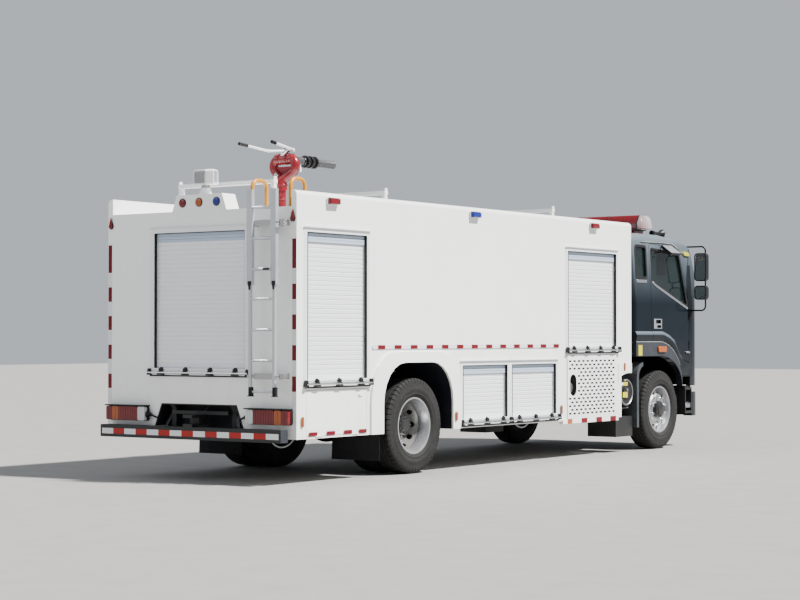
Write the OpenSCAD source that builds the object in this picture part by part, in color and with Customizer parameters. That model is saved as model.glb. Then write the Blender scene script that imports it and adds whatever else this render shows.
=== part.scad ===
// Airport fire truck: two-axle water tender with a cab, roller-shutter body and roof monitor.
// X points forward, Y left and Z up. The ground is at z = 0.
// The pieces are drawn with x = 0 at the body's rear face, and place() centres the whole truck.

/* [Chassis] */
// Distance between the axles
wheelbase = 5550; // [5200:10:6000]
// Body rear face to rear axle
rear_overhang = 2100; // [2080:5:2120]
// Top of the frame rails above the ground
frame_top = 1000; // [990:5:1005]
// Depth of a frame rail
frame_depth = 270; // [240:5:290]
// Width over the frame rails
frame_w = 860; // [840:5:880]
// Thickness of a frame rail
frame_wall = 60; // [40:5:80]
// Bumper rear face behind the body
rear_bumper_reach = 170; // [160:5:190]

/* [Wheels] */
// Tyre outer radius
tyre_r = 506; // [490:1:515]
// Tyre section width
tyre_w = 276; // [260:1:280]
// Rim seat radius
rim_r = 286; // [280:1:290]
// Rim width over its flanges
rim_w = 234; // [220:1:240]
// Tread centre of the front tyres from the truck's centre plane
front_tyre_y = 1043; // [1035:1:1050]
// Tread centre of the outer rear tyres from the centre plane
rear_tyre_y = 1053; // [1045:1:1060]
// Spacing of the twin rear tyres
twin_pitch = 320; // [312:1:330]
// Spindle radius
spindle_r = 40; // [36:1:46]
// Number of wheel studs
stud_count = 10; // [8:1:10]
// Stud circle radius
stud_pcd_r = 168; // [160:1:175]

/* [Body] */
// Body half width
body_hw = 1250; // [1240:2:1260]
// Height of the parapet above the ground
parapet_z = 2870; // [2840:5:2900]
// Roof deck height
deck_z = 2710; // [2680:5:2730]
// Parapet wall thickness
parapet_t = 65; // [55:1:80]
// Radius of the parapet's outer top edge
corner_r = 50; // [30:5:50]
// How far the arch flares stand proud
flare_out = 25; // [15:1:35]
// Body floor above the ground
floor_z = 1060; // [1055:1:1070]
// Bottom edge of the lower lockers
skirt_z = 450; // [440:2:470]
// Inner side of the lower lockers from the centre plane
skirt_in_y = 620; // [600:5:640]
// Shutter recess depth
shutter_depth = 45; // [38:1:55]
// Depth of a locker behind its flap
locker_depth = 420; // [300:10:500]
// Wheel arch half width
arch_hw = 640; // [620:5:650]
// Wheel arch height above the ground
arch_top = 1175; // [1165:5:1185]

/* [Cab] */
// Front axle ahead of the cab's rear wall
axle_in_cab = 830; // [820:2:850]
// Gap between the body and the cab
cab_gap = 92; // [85:1:110]
// Cab length
cab_len = 1930; // [1900:5:1950]
// Cab half width
cab_hw = 1245; // [1235:2:1250]
// Cab roof height
cab_top = 2765; // [2740:5:2790]
// Cab wall thickness
cab_wall = 60; // [50:1:70]
// Cab floor underside
cab_floor_z = 1370; // [1360:5:1380]
// Tilt pivot height
tilt_z = 860; // [850:2:870]
// Gap round a cab door
door_gap = 6; // [5:1:8]

/* [Roof] */
// Monitor column place ahead of the body's rear face
monitor_x = 1315; // [1300:5:1400]
// Height of the monitor's elevation axis
monitor_axis_z = 3330; // [3310:5:3350]
// Monitor column radius
column_r = 50; // [45:1:56]
// Height of the roof rack bars
rack_z = 2985; // [2970:5:3010]

/* [Ladder] */
// Ladder centre in from the body's side
ladder_in = 330; // [310:5:345]
// Distance between the ladder rails, centre to centre
ladder_w = 300; // [290:5:310]
// Rung pitch
rung_pitch = 300; // [290:5:305]
// Rung radius
rung_r = 15; // [13:1:18]

/* [Hidden] */
$fn = 48;

// Clearances: shaft in its hole, sliding rail, faces of different bodies
run_fit = 0.05;
slide_fit = 0.5;
body_fit = 5;
face_gap = 0.3;

// Colours
white = "#eceeee";
dark = "#22262c";
black = "#17181a";
steel = "#b9bdc1";
red = "#b3202c";
yellow = "#e0a82e";
amber = "#e0791e";

// Places along the truck
rear_axle_x = rear_overhang;
front_axle_x = rear_overhang + wheelbase;
axle_z = tyre_r;
arch_cx = rear_axle_x - 50;
arch_x0 = rear_axle_x - 900;
arch_x1 = rear_axle_x + 750;
cab_x0 = front_axle_x - axle_in_cab;
body_len = cab_x0 - cab_gap;
middle_x1 = body_len - 1698;
cab_x1 = cab_x0 + cab_len;
bumper_front = cab_x1 + 10;
mid_x = (bumper_front - rear_bumper_reach) / 2;
tilt_x = cab_x1 - 95;
tilt_pin_r = 20;
bumper_x0 = cab_x1 - 330;
bumper_z0 = 400;
bumper_z1 = 715;

ladder_y = body_hw - ladder_in;

engine_hw = 335;

// Kingpin
kingpin_y = 900;
kingpin_r = 22;

// Notch in the body's lower front corner
notch_x = body_len - 255;
notch_z = 930;
notch_r = 235;

function arc(cx, cy, rx, ry, a0, a1, n) =
  [for (i = [0:n]) let (a = a0 + (a1 - a0) * i / n) [cx + rx * cos(a), cy + ry * sin(a)]];

// The corner b of a path a, b, c, rounded with radius r
function fillet(a, b, c, r, n) = let (
    u = (a - b) / norm(a - b), v = (c - b) / norm(c - b),
    half = acos(u * v) / 2,
    o = b + (u + v) / norm(u + v) * r / sin(half),
    p = b + u * r / tan(half) - o, q = b + v * r / tan(half) - o,
    a0 = atan2(p[1], p[0]),
    da = (atan2(q[1], q[0]) - a0 + 540) % 360 - 180)
  [for (i = [0:n]) o + r * [cos(a0 + da * i / n), sin(a0 + da * i / n)]];

// An outline with every corner rounded
function rounded(pts, r, n = 4) = let (k = len(pts))
  [for (i = [0:k - 1]) each fillet(pts[(i + k - 1) % k], pts[i], pts[(i + 1) % k], r, n)];

function rect(x0, x1, y0, y1) = [[x0, y0], [x1, y0], [x1, y1], [x0, y1]];

module place() {
  translate([-mid_x, 0, 0]) children();
}

// Extrudes an (x, z) outline over the width from y0 to y1
module side_extrude(y0, y1) {
  translate([0, y1, 0]) rotate([90, 0, 0]) linear_extrude(y1 - y0) children();
}

// Extrudes a (y, z) outline along the truck from x0 to x1
module long_extrude(x0, x1) {
  translate([x0, 0, 0]) rotate([90, 0, 90]) linear_extrude(x1 - x0) children();
}

// The same piece on the right (-1) and on the left (1)
module both_sides() {
  for (s = [-1, 1]) scale_y(s) children();
}

module scale_y(s) {
  if (s > 0) children();
  else mirror([0, 1, 0]) children();
}

module block(x0, x1, y0, y1, z0, z1) {
  translate([x0, y0, z0]) cube([x1 - x0, y1 - y0, z1 - z0]);
}

// A cylinder along Y from y0 to y1
module rod_y(x, z, r, y0, y1) {
  translate([x, y1, z]) rotate([90, 0, 0]) cylinder(r = r, h = y1 - y0);
}

// A cylinder along X from x0 to x1
module rod_x(y, z, r, x0, x1) {
  translate([x0, y, z]) rotate([0, 90, 0]) cylinder(r = r, h = x1 - x0);
}

// Chassis

module frame_rails() {
  place() color(dark) {
    both_sides() {
      block(60, cab_x1 - 150, frame_w / 2 - frame_wall, frame_w / 2, frame_top - frame_depth, frame_top);
      block(60, body_len - 20, frame_w / 2 - frame_wall, frame_w / 2, frame_top, floor_z);
    }
    for (x = concat([for (i = [0:7]) 60 + i * (body_len - 288) / 7], [cab_x1 - 230]))
      block(x, x + 80, -frame_w / 2 + frame_wall, frame_w / 2 - frame_wall, 800, 940);
    tilt_brackets();
  }
}

// Brackets and pin that the cab tilts on
module tilt_brackets() {
  both_sides() {
    for (y = [frame_w / 2 - 100, frame_w / 2 + 40]) {
      block(cab_x1 - 200, tilt_x, y, y + 20, frame_top - frame_depth, tilt_z + 28);
      rod_y(tilt_x, tilt_z, 28, y, y + 20);
    }
    block(cab_x1 - 200, cab_x1 - 150, frame_w / 2 - 90, frame_w / 2 + 50,
      frame_top - frame_depth, frame_top - frame_depth + 60);
    rod_y(tilt_x, tilt_z, tilt_pin_r, frame_w / 2 - 90, frame_w / 2 + 50);
  }
}

module engine_block() {
  place() color(steel) {
    block(front_axle_x - 450, front_axle_x + 650, -engine_hw, engine_hw, frame_top - 350, cab_floor_z - 80);
    both_sides() for (x = [front_axle_x - 350, front_axle_x + 450])
      block(x, x + 90, engine_hw, frame_w / 2 - frame_wall, 820, 900);
  }
}

module front_axle() {
  place() color(dark) difference() {
    union() {
      block(front_axle_x - 50, front_axle_x + 50, -780, 780, axle_z - 150, axle_z - 40);
      both_sides() {
        block(front_axle_x - 45, front_axle_x + 45, 780, kingpin_y, axle_z - 120, axle_z + 40);
        translate([front_axle_x, kingpin_y, axle_z - 50]) cylinder(r = 45, h = 100);
        block(front_axle_x - 70, front_axle_x + 70, 395, 475, axle_z - 40, axle_z + 20);
      }
    }
    both_sides() translate([front_axle_x, kingpin_y, axle_z - 200])
      cylinder(r = kingpin_r + run_fit, h = 400);
    both_sides() for (z = [axle_z - 201, axle_z + 50])
      translate([front_axle_x, kingpin_y, z]) cylinder(r = 80, h = 151);
  }
}

module rear_axle() {
  place() color(dark) {
    rod_y(rear_axle_x, axle_z, 75, -590, 590);
    both_sides() rod_y(rear_axle_x, axle_z, 190, 600, 815);
    both_sides() rod_y(rear_axle_x, axle_z, spindle_r + 10, 590, 1040);
    translate([rear_axle_x, 0, axle_z]) sphere(r = 210);
    both_sides() block(rear_axle_x - 80, rear_axle_x + 80, 385, 475, axle_z + 60, axle_z + 90);
  }
}

// One leaf spring pack, arched down, with its eyes and hangers
module leaf_spring(x, z_mid, half, rise) {
  thick = 55;
  outline = concat(
    [for (i = [-6:6]) [x + half * i / 6, z_mid + rise * pow(i / 6, 2)]],
    [for (i = [6:-1:-6]) [x + half * i / 6, z_mid + rise * pow(i / 6, 2) + thick * (1.35 - pow(i / 6, 2))]]);
  side_extrude(398, 472) polygon(outline);
  for (e = [-1, 1])
    block(x + e * (half - 20) - 35, x + e * (half - 20) + 35, 398, 425,
      z_mid + rise - 5, frame_top - frame_depth / 2);
}

module leaf_springs() {
  place() color(dark) both_sides() {
    difference() {
      leaf_spring(front_axle_x, axle_z + 20, 760, 60);
      block(cab_x0 - 600, cab_x1, frame_w / 2 - frame_wall - 1, frame_w / 2,
        frame_top - frame_depth, frame_top);
    }
    difference() {
      leaf_spring(rear_axle_x, axle_z + 90, 800, 60);
      block(0, body_len, frame_w / 2 - frame_wall - 1, frame_w / 2, frame_top - frame_depth, frame_top);
    }
  }
}

filler = [body_len + 32, 745, 160];
module tanks() {
  place() color(dark) {
    both_sides() {
      rod_y(filler[0], filler[1], filler[2], 460, 1160);
      rod_y(filler[0], filler[1], 84, 1150, 1172);
      block(filler[0] - 30, filler[0] + 30, frame_w / 2, 500, 740, 800);
      block(body_len - 240, body_len + 190, 760, 1160, 195, 445);
      block(filler[0] - 60, filler[0] + 60, 860, 1060, 440, 600);
      rod_x(520, 490, 86, arch_x1 + 450, middle_x1 - 470);
      for (x = [arch_x1 + 650, middle_x1 - 730]) block(x, x + 50, frame_w / 2, 520, 550, 800);
    }
  }
}

// Mudflaps behind the rear wheels, and curved guards behind the front ones
guard_t = 8;
guard_x = cab_x0 + 125;
module mudguards() {
  place() color(black) both_sides() {
    block(arch_cx - arch_hw, arch_cx - arch_hw + 15, 640, 1180, 240, 600);
    side_extrude(880, 1212) polygon(guard_path(guard_t));
    side_extrude(1204, 1212) polygon(guard_path(55));
    rod_y(guard_x + 4, 830, 18, frame_w / 2, 885);
  }
}

// The guard's side view: up behind the wheel, then curved forward over it
function guard_path(t) = concat(
  [[guard_x, 300], [guard_x, 930]], arc(guard_x + 200, 930, 200, 200, 180, 100, 6),
  arc(guard_x + 200, 930, 200 - t, 200 - t, 100, 180, 6), [[guard_x + t, 300]]);

// Bumpers

module rear_bumper() {
  place() color(black) {
    block(-rear_bumper_reach, -rear_bumper_reach + 110, -1190, 1190, 420, 545);
    both_sides() {
      block(-rear_bumper_reach + 110, 200, frame_w / 2 - frame_wall, frame_w / 2, 450, 520);
      block(80, 200, frame_w / 2 - frame_wall, frame_w / 2, 520, frame_top - frame_depth);
    }
    tow_jaw();
  }
}

// Rear towing jaw with its pin hole
module tow_jaw() {
  difference() {
    block(-rear_bumper_reach, 60, -60, 60, 545, 665);
    block(-rear_bumper_reach - 1, -60, -61, 61, 575, 635);
    translate([-rear_bumper_reach + 50, 0, 500]) cylinder(r = 25, h = 200);
  }
  block(20, 60, -frame_w / 2 + frame_wall, frame_w / 2 - frame_wall, 665, 700);
}

module front_bumper() {
  place() color(dark) {
    difference() {
      translate([0, 0, bumper_z0]) linear_extrude(bumper_z1 - bumper_z0) difference() {
        bumper_plan();
        bumper_inside();
      }
      both_sides() block(cab_x1 - 61, bumper_front + 1, lamp_y[0], lamp_y[1], 530, 670);
    }
    both_sides()
      block(cab_x1 - 320, cab_x1 - 115, frame_w / 2 - frame_wall, frame_w / 2,
        bumper_z0 + 20, frame_top - frame_depth);
  }
}

module bumper_plan() {
  polygon(concat([[bumper_x0, -cab_hw + 10]], arc(cab_x1 - 290, -cab_hw + 300, 300, 290, -90, 0, 8),
    arc(cab_x1 - 290, cab_hw - 300, 300, 290, 0, 90, 8), [[bumper_x0, cab_hw - 10]]));
}

module bumper_inside() {
  polygon([[cab_x1 - 400, -cab_hw + 95], [cab_x1 - 120, -cab_hw + 245], [cab_x1 - 120, cab_hw - 245],
    [cab_x1 - 400, cab_hw - 95]]);
}

// Hinges: a pin with a knuckle at each end on the fixed side, and a bored knuckle on the moving side.
// Both are drawn along Z about the hinge line, with the middle of the moving knuckle at z = 0
knuckle_r = 9;
hinge_pin_r = 4;
knuckle_h = 50;
hinge_leaf = 4;
hinge_room_r = 12;

// The moving panel lies on the -x side of the line, and +y is outwards
module hinge_fixed() {
  for (z = [-knuckle_h / 2 - 30, knuckle_h / 2 + face_gap]) translate([0, 0, z]) {
    cylinder(r = knuckle_r, h = 30 - face_gap);
    translate([0, -hinge_leaf, 0]) cube([hinge_room_r + 2, hinge_leaf, 30 - face_gap]);
  }
  cylinder(r = hinge_pin_r, h = knuckle_h + 40, center = true);
}

module hinge_moving() {
  difference() {
    union() {
      cylinder(r = knuckle_r, h = knuckle_h, center = true);
      translate([-hinge_room_r - 2, -hinge_leaf, -knuckle_h / 2])
        cube([hinge_room_r + 2, hinge_leaf, knuckle_h]);
    }
    cylinder(r = hinge_pin_r + run_fit, h = knuckle_h + 2, center = true);
  }
}

// Room cut in both panels round the knuckles
module hinge_room() {
  cylinder(r = hinge_room_r, h = knuckle_h + 64, center = true);
}

// Body

// Cross-section of the upper body: a box under the roof deck, with a parapet on each side
module upper_section(z0) {
  translate([-body_hw, z0]) square([2 * body_hw, deck_z - z0]);
  for (s = [-1, 1]) mirror([s < 0 ? 1 : 0, 0]) {
    translate([body_hw - parapet_t, deck_z]) square([parapet_t, parapet_z - deck_z - corner_r]);
    translate([body_hw - parapet_t, deck_z]) square([parapet_t - corner_r, parapet_z - deck_z]);
    translate([body_hw - corner_r, parapet_z - corner_r]) intersection() {
      circle(r = corner_r);
      translate([-2, -2]) square(corner_r + 2);
    }
  }
}

// Cross-section of the lower lockers beside the frame
module skirt_section() {
  for (s = [-1, 1]) mirror([s < 0 ? 1 : 0, 0])
    translate([skirt_in_y, skirt_z]) square([body_hw - skirt_in_y, floor_z - skirt_z]);
}

// Shutter units on each side: [rear end, front end, bottom, top, latches]
middle_split = (arch_x1 + middle_x1) / 2 - 78;
shutters_side = [
  [113, arch_x0 - 10, 940, 2518, 3],
  [arch_x1 + 5, middle_split, 460, 1182, 3],
  [middle_split, middle_x1 - 100, 460, 1182, 3],
  [middle_x1 + 84, body_len - 343, 1240, 2513, 4]];
// The rear unit: half width, bottom, top, latches
shutter_rear = [body_hw - 595, 1040, 2550, 4];
frame_edge = 52;
bar_h = 85;

// Flap door under the rear side locker: [rear end, front end, bottom, top]
flap = [150, arch_x0 - 56, 470, 925];
flap_t = 30;

// Recess for a side shutter unit
module shutter_recess(u) {
  block(u[0], u[1], body_hw - shutter_depth, body_hw + 1, u[2], u[3]);
}

module body_rear() {
  place() color(white) {
    difference() {
      union() {
        long_extrude(0, arch_x0) upper_section(floor_z);
        long_extrude(40, arch_x0) skirt_section();
        block(0, 40, -body_hw, body_hw, skirt_z, floor_z);
      }
      both_sides() shutter_recess(shutters_side[0]);
      block(-1, shutter_depth, -shutter_rear[0], shutter_rear[0], shutter_rear[1], shutter_rear[2]);
      rear_opening();
      block(-1, 41, -frame_w / 2 - 5, frame_w / 2 + 5, skirt_z - 1, 545);
      both_sides() {
        block(flap[0], flap[1], body_hw - flap_t - 4, body_hw + 1, flap[2], flap[3]);
        block(flap[0] + 30, flap[1] - 30, body_hw - locker_depth, body_hw - flap_t, flap[2] + 30, flap[3] - 30);
        flap_hinges() hinge_room();
      }
    }
    both_sides() flap_hinges() hinge_fixed();
  }
}

// Places its children at the two hinges of a flap, their Z axis along the truck
module flap_hinges() {
  for (x = [flap[0] + 200, flap[1] - 200])
    translate([x, body_hw, flap[2]]) rotate([0, 90, 0]) children();
}

// Opening in the rear panel between the lower lockers
module rear_opening() {
  translate([-1, 0, 0]) rotate([90, 0, 90]) linear_extrude(42)
    polygon([[-590, 540], [590, 540], [500, 770], [-500, 770]]);
}

// Outline of the rear wheel arch opening, from below the body to its rounded top
function arch_outline(half, top, flat, low) = concat(
  [[arch_cx + half, low - 400], [arch_cx + half, low]],
  arc(arch_cx + flat, low, half - flat, top - low, 0, 90, 6),
  arc(arch_cx - flat, low, half - flat, top - low, 90, 180, 6),
  [[arch_cx - half, low - 400]]);

module body_arch() {
  place() color(white) difference() {
    union() {
      long_extrude(arch_x0, arch_x1) upper_section(floor_z);
      long_extrude(arch_x0, arch_x1) skirt_section();
      both_sides() side_extrude(body_hw, body_hw + flare_out) flare_outline();
    }
    both_sides() side_extrude(skirt_in_y - 30, body_hw + 100)
      polygon(arch_outline(arch_hw, arch_top, 255, 750));
  }
}

module flare_outline() {
  polygon(concat(
    [[arch_x1 - 4, skirt_z], [arch_x1 - 4, 785]],
    arc(arch_x1 - 404, 785, 400, 500, 0, 90, 6),
    arc(arch_x0 + 400, 785, 400, 500, 90, 180, 6),
    [[arch_x0, skirt_z]]));
}

module body_middle() {
  place() color(white) difference() {
    union() {
      long_extrude(arch_x1, middle_x1) upper_section(floor_z);
      long_extrude(arch_x1, middle_x1) skirt_section();
    }
    both_sides() for (i = [1, 2]) shutter_recess(shutters_side[i]);
  }
}

// Perforated panel: [rear end, front end, bottom, top]
pump = [middle_x1 + 110, body_len - 403, 470, 1220];
pump_t = 4;
pump_depth = 160;
pump_rows = 15;
pump_pitch_x = 105;
pump_pitch_z = 44.5;
pump_window = [pump[0] + 135, 868, 156, 257];

module body_front() {
  place() color(white) difference() {
    union() {
      long_extrude(middle_x1, body_len) upper_section(floor_z);
      long_extrude(middle_x1, body_len) skirt_section();
    }
    both_sides() {
      shutter_recess(shutters_side[3]);
      block(pump[0], pump[1], body_hw - pump_depth, body_hw + 1, pump[2], pump[3]);
      side_extrude(skirt_in_y - 10, body_hw + 1) notch_outline();
    }
    block(notch_x, body_len + 1, -body_hw - 1, body_hw + 1, 400, floor_z);
  }
}

// Lower front corner cut away ahead of the lockers
module notch_outline() {
  polygon(concat([[body_len + 1, skirt_z - 1], [body_len + 1, notch_z]],
    arc(body_len, notch_z - notch_r, body_len - notch_x, notch_r, 90, 180, 6),
    [[notch_x, skirt_z - 1]]));
}

// Shutters: an aluminium frame, a slatted curtain and a bottom bar with latches.
// Drawn in the (length, height) plane with z outwards from the recess's back
module shutter_unit(w, h, latches) {
  slat = 46;
  n = floor((h - 2 * frame_edge - bar_h) / slat);
  linear_extrude(shutter_depth + 4) difference() {
    square([w, h]);
    translate([frame_edge, bar_h]) square([w - 2 * frame_edge, h - bar_h - frame_edge]);
  }
  translate([frame_edge, bar_h, 0]) cube([w - 2 * frame_edge, h - bar_h - frame_edge, 6]);
  translate([frame_edge, 0, 0]) rotate([90, 0, 90]) linear_extrude(w - 2 * frame_edge)
    polygon(concat([[h - frame_edge, 5], [bar_h, 5]],
      [for (i = [0:n - 1]) each [[bar_h + i * slat + 4, 5], [bar_h + i * slat + 9, 11],
        [bar_h + (i + 1) * slat - 5, 11], [bar_h + (i + 1) * slat, 5]]]));
  translate([38, 20, shutter_depth + 4]) cube([w - 60, bar_h - 20, 8]);
  for (i = [0:latches - 1])
    translate([w * (i + 0.5) / latches - 25, 32, shutter_depth + 12]) cube([50, 30, 10]);
}

module shutters() {
  place() color(steel) {
    both_sides() for (u = shutters_side)
      translate([u[0], body_hw - shutter_depth, u[2]]) mirror([0, 1, 0]) rotate([90, 0, 0])
        shutter_unit(u[1] - u[0], u[3] - u[2], u[4]);
    translate([shutter_depth, -shutter_rear[0], shutter_rear[1]])
      rotate([90, 0, 90]) mirror([0, 0, 1])
        shutter_unit(2 * shutter_rear[0], shutter_rear[2] - shutter_rear[1], shutter_rear[3]);
  }
}

module pump_panel() {
  w = pump[1] - pump[0];
  h = pump[3] - pump[2];
  linear_extrude(pump_t) difference() {
    square([w, h]);
    pump_slots(w, h);
    translate([pump_window[0] - pump[0], pump_window[1] - pump[2]])
      obround(pump_window[2], pump_window[3]);
  }
}

// Rows of slots, every second row shifted by half a pitch, kept clear of the window
module pump_slots(w, h) {
  for (r = [0:pump_rows - 1], c = [0:10]) {
    x = 62 + c * pump_pitch_x + (r % 2) * pump_pitch_x / 2;
    z = 60 + r * pump_pitch_z;
    near = abs(x - (pump_window[0] - pump[0])) < pump_window[2] / 2 + 40
      && abs(z - (pump_window[1] - pump[2])) < pump_window[3] / 2 + 25;
    if (x < w - 40 && !near) translate([x - 20, z - 9]) square([40, 18]);
  }
}

// A slot with round ends, height h and width w, centred
module obround(w, h) {
  translate([-w / 2, -(h - w) / 2]) square([w, h - w]);
  for (s = [-1, 1]) translate([0, s * (h - w) / 2]) circle(r = w / 2);
}

module pump_panels() {
  place() color(steel) both_sides()
    translate([pump[0], body_hw - pump_t, pump[2]]) mirror([0, 1, 0]) rotate([90, 0, 0]) pump_panel();
}

// Flap doors, hinged along the bottom
module flap_door() {
  difference() {
    block(flap[0] + body_fit, flap[1] - body_fit, body_hw - flap_t, body_hw, flap[2] + body_fit, flap[3] - body_fit);
    flap_hinges() hinge_room();
  }
  translate([flap[1] - 110, body_hw, flap[3] - 60]) rotate([-90, 0, 0]) linear_extrude(12)
    rotate(90) obround(34, 70);
  flap_hinges() hinge_moving();
}

module flap_right() { place() color(white) scale_y(-1) flap_door(); }
module flap_left() { place() color(white) flap_door(); }

// Light box on the rear edge, with the work lamp's foot and pin
lamp_foot_h = 70;
lamp_pin_r = 12;
module light_box() {
  place() color(white) {
    rotate([90, 0, 90]) linear_extrude(200)
      polygon([[-360, deck_z], [360, deck_z], [300, deck_z + 165], [-300, deck_z + 165]]);
    translate([100, 0, deck_z + 165]) cylinder(r1 = 70, r2 = 45, h = lamp_foot_h);
    translate([100, 0, deck_z + 165 + lamp_foot_h]) cylinder(r = lamp_pin_r, h = 40);
  }
}

// Lamps: three round ones on the light box, tail lamps, upper side lamps and side markers
module lamps() {
  place() color(red) {
    for (y = [-230, 0, 220]) rod_x(y, deck_z + 85, 46, -14, 0);
    both_sides() {
      tail_lamp();
      corner_lamp();
      for (x = [560, arch_x1 + 280, middle_x1 + 740]) side_lamp(x);
      for (m = [[83, 618], [middle_x1 - 30, 587], [body_len - 191, 1071]])
        block(m[0] - 20, m[0] + 20, body_hw, body_hw + 12, m[1] - 50, m[1] + 50);
    }
  }
}

module tail_lamp() {
  block(-80, 0, body_hw - 590, body_hw - 40, 585, 735);
}

// Teardrop lamp at the rear corner
module corner_lamp() {
  translate([0, body_hw - 45, 2590]) rotate([90, 0, -90]) linear_extrude(18) {
    circle(r = 32);
    polygon([[-30, 10], [30, 10], [0, 95]]);
  }
}

module side_lamp(x) {
  translate([x - 95, body_hw, 2750]) cube([190, 45, 70]);
}

// Ladder on the rear wall. The upper section is fixed, and the lower one slides in its rails
ladder_x = -140;
rail_w = 66;
rail_d = 42;
inner_w = 30;
inner_d = 26;
lower_rung_r = 12;
lower_rung_x = 8 + slide_fit + inner_d / 2;
upper_z0 = 1950;
upper_z1 = 2880;
lower_z0 = 870;
lower_z1 = 2330;

module ladder_upper() {
  place() color(steel) {
    translate([ladder_x, -ladder_y, 0]) {
      for (s = [-1, 1]) {
        difference() {
          block(0, rail_d, s * ladder_w / 2 - rail_w / 2, s * ladder_w / 2 + rail_w / 2, upper_z0, upper_z1);
          block(8, 8 + inner_d + 2 * slide_fit, s * ladder_w / 2 - inner_w / 2 - slide_fit,
            s * ladder_w / 2 + inner_w / 2 + slide_fit, upper_z0 - 1, lower_z1 + 20);
        }
        block(rail_d, -ladder_x, s * ladder_w / 2 - 12, s * ladder_w / 2 + 12, 2520, 2580);
      }
      for (i = [0:2]) rung(2100 + i * rung_pitch, -3);
      block(rail_d, -ladder_x, -180, 180, 2535, 2565);
      lower_bracket();
    }
  }
}

module rung(z, dx) {
  translate([rail_d / 2 + dx, 0, z]) rotate([90, 0, 0])
    cylinder(r = rung_r, h = ladder_w - rail_w + 2, center = true);
}

// Bracket low on the rear wall that guides the sliding section. Its inner cheeks stop behind the rungs' path
module lower_bracket() {
  for (s = [-1, 1]) {
    y = s * ladder_w / 2;
    for (e = [-1, 1])
      block(e == s ? 0 : lower_rung_x + lower_rung_r + body_fit, -ladder_x,
        y + e * (inner_w / 2 + slide_fit + 5) - 5, y + e * (inner_w / 2 + slide_fit + 5) + 5, 1045, 1075);
    block(8 + inner_d + 2 * slide_fit, 60, y - inner_w / 2 - slide_fit, y + inner_w / 2 + slide_fit, 1045, 1075);
  }
}

module ladder_lower() {
  place() color(steel) translate([ladder_x, -ladder_y, 0]) {
    for (s = [-1, 1])
      block(8 + slide_fit, 8 + slide_fit + inner_d, s * ladder_w / 2 - inner_w / 2, s * ladder_w / 2 + inner_w / 2, lower_z0, lower_z1);
    for (i = [0:3]) translate([lower_rung_x, 0, 910 + i * rung_pitch]) rotate([90, 0, 0])
      cylinder(r = lower_rung_r, h = ladder_w - inner_w + 2, center = true);
  }
}

module grab_rails() {
  place() color(yellow) {
    grab_rail(20, 280, -ladder_y + 260);
    grab_rail(50, 310, -ladder_y - 200);
  }
}

// An inverted U of tube standing on the deck in an (x, z) plane
module grab_rail(x0, x1, y) {
  r = 20;
  bend = 80;
  top = 3010;
  for (x = [x0 + r, x1 - r]) translate([x, y, deck_z]) cylinder(r = r, h = top - r - bend - deck_z);
  rod_x(y, top - r, r, x0 + r + bend, x1 - r - bend);
  translate([x0 + r + bend, y, top - r - bend]) rotate([90, 0, 180]) rotate_extrude(angle = 90)
    translate([bend, 0]) circle(r = r);
  translate([x1 - r - bend, y, top - r - bend]) rotate([90, 0, 0]) rotate_extrude(angle = 90)
    translate([bend, 0]) circle(r = r);
}

// Roof rack: cross bars on posts, each with an end stop
rack_x = [400, rear_axle_x + 200, body_len - 898];
rack_hw = body_hw - 610;
module roof_rack() {
  place() color(white) for (x = rack_x) {
    block(x, x + 60, -rack_hw, rack_hw, rack_z, rack_z + 40);
    both_sides() {
      block(x + 5, x + 55, rack_hw - 45, rack_hw - 5, deck_z, rack_z);
      block(x + 10, x + 50, rack_hw - 14, rack_hw, rack_z + 40, rack_z + 70);
    }
  }
}

// Monitor: column, a swivelling fork of two elbows, and the barrel on its elevation axis
swivel_z = 3050;
nozzle_bore_r = 32.5;
// The elevation axis stands this far ahead of the column
axis_out = 55;
fork_tube_r = 50;
elbow_r = 80;
elbow_y = 66;
elbow_drop = 75;
elbow_foot = 50;
fork_boss_r = 56;
hub_r = 60;
hub_hw = 52;
trunnion_r = 22;
trunnion_hw = 130;
module monitor_base() {
  place() color(red) translate([monitor_x, 0, 0]) {
    difference() {
      translate([0, 0, deck_z]) cylinder(r = 125, h = 16);
      for (i = [0:7]) rotate(i * 45 + 22.5) translate([100, 0, deck_z - 1]) cylinder(r = 9, h = 18);
    }
    translate([0, 0, deck_z + 16]) cylinder(r = column_r, h = swivel_z - 40 - deck_z - 16);
    translate([0, 0, swivel_z - 60]) cylinder(r = column_r + 12, h = 40);
    translate([0, 0, swivel_z - 20]) cylinder(r = 30, h = 60);
  }
}

// Two elbows rise from the swivel and turn in to the trunnions, with a web between them
module monitor_fork() {
  foot = [0, 0, swivel_z + 45];
  elbow_end = [axis_out, elbow_y + elbow_r * cos(elbow_foot),
    monitor_axis_z - elbow_drop - elbow_r * sin(elbow_foot)];
  place() color(red) translate([monitor_x, 0, 0]) difference() {
    union() {
      translate([0, 0, swivel_z - 20 + face_gap]) cylinder(r = column_r + 10, h = 70);
      translate(foot) sphere(r = fork_tube_r + 2);
      both_sides() {
        translate([axis_out, elbow_y, monitor_axis_z - elbow_drop]) rotate([90, 0, 90]) rotate([0, 0, -elbow_foot])
          rotate_extrude(angle = 90 + elbow_foot) translate([elbow_r, 0]) circle(r = fork_tube_r);
        translate(elbow_end) sphere(r = fork_tube_r + 2);
        strut(foot, elbow_end, fork_tube_r);
        rod_y(axis_out, monitor_axis_z, fork_boss_r, hub_hw + face_gap, hub_hw + 60);
      }
      long_extrude(axis_out - 18, axis_out + 18) translate([0, monitor_axis_z]) polygon([[-104, -hub_r - 20],
        [104, -hub_r - 20], [117, -136], [45, -190], [-45, -190], [-117, -136]]);
    }
    translate([0, 0, swivel_z - 21]) cylinder(r = 30 + run_fit, h = 61.5);
    rod_y(axis_out, monitor_axis_z, trunnion_r + run_fit, -trunnion_hw - 1, trunnion_hw + 1);
  }
}

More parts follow.
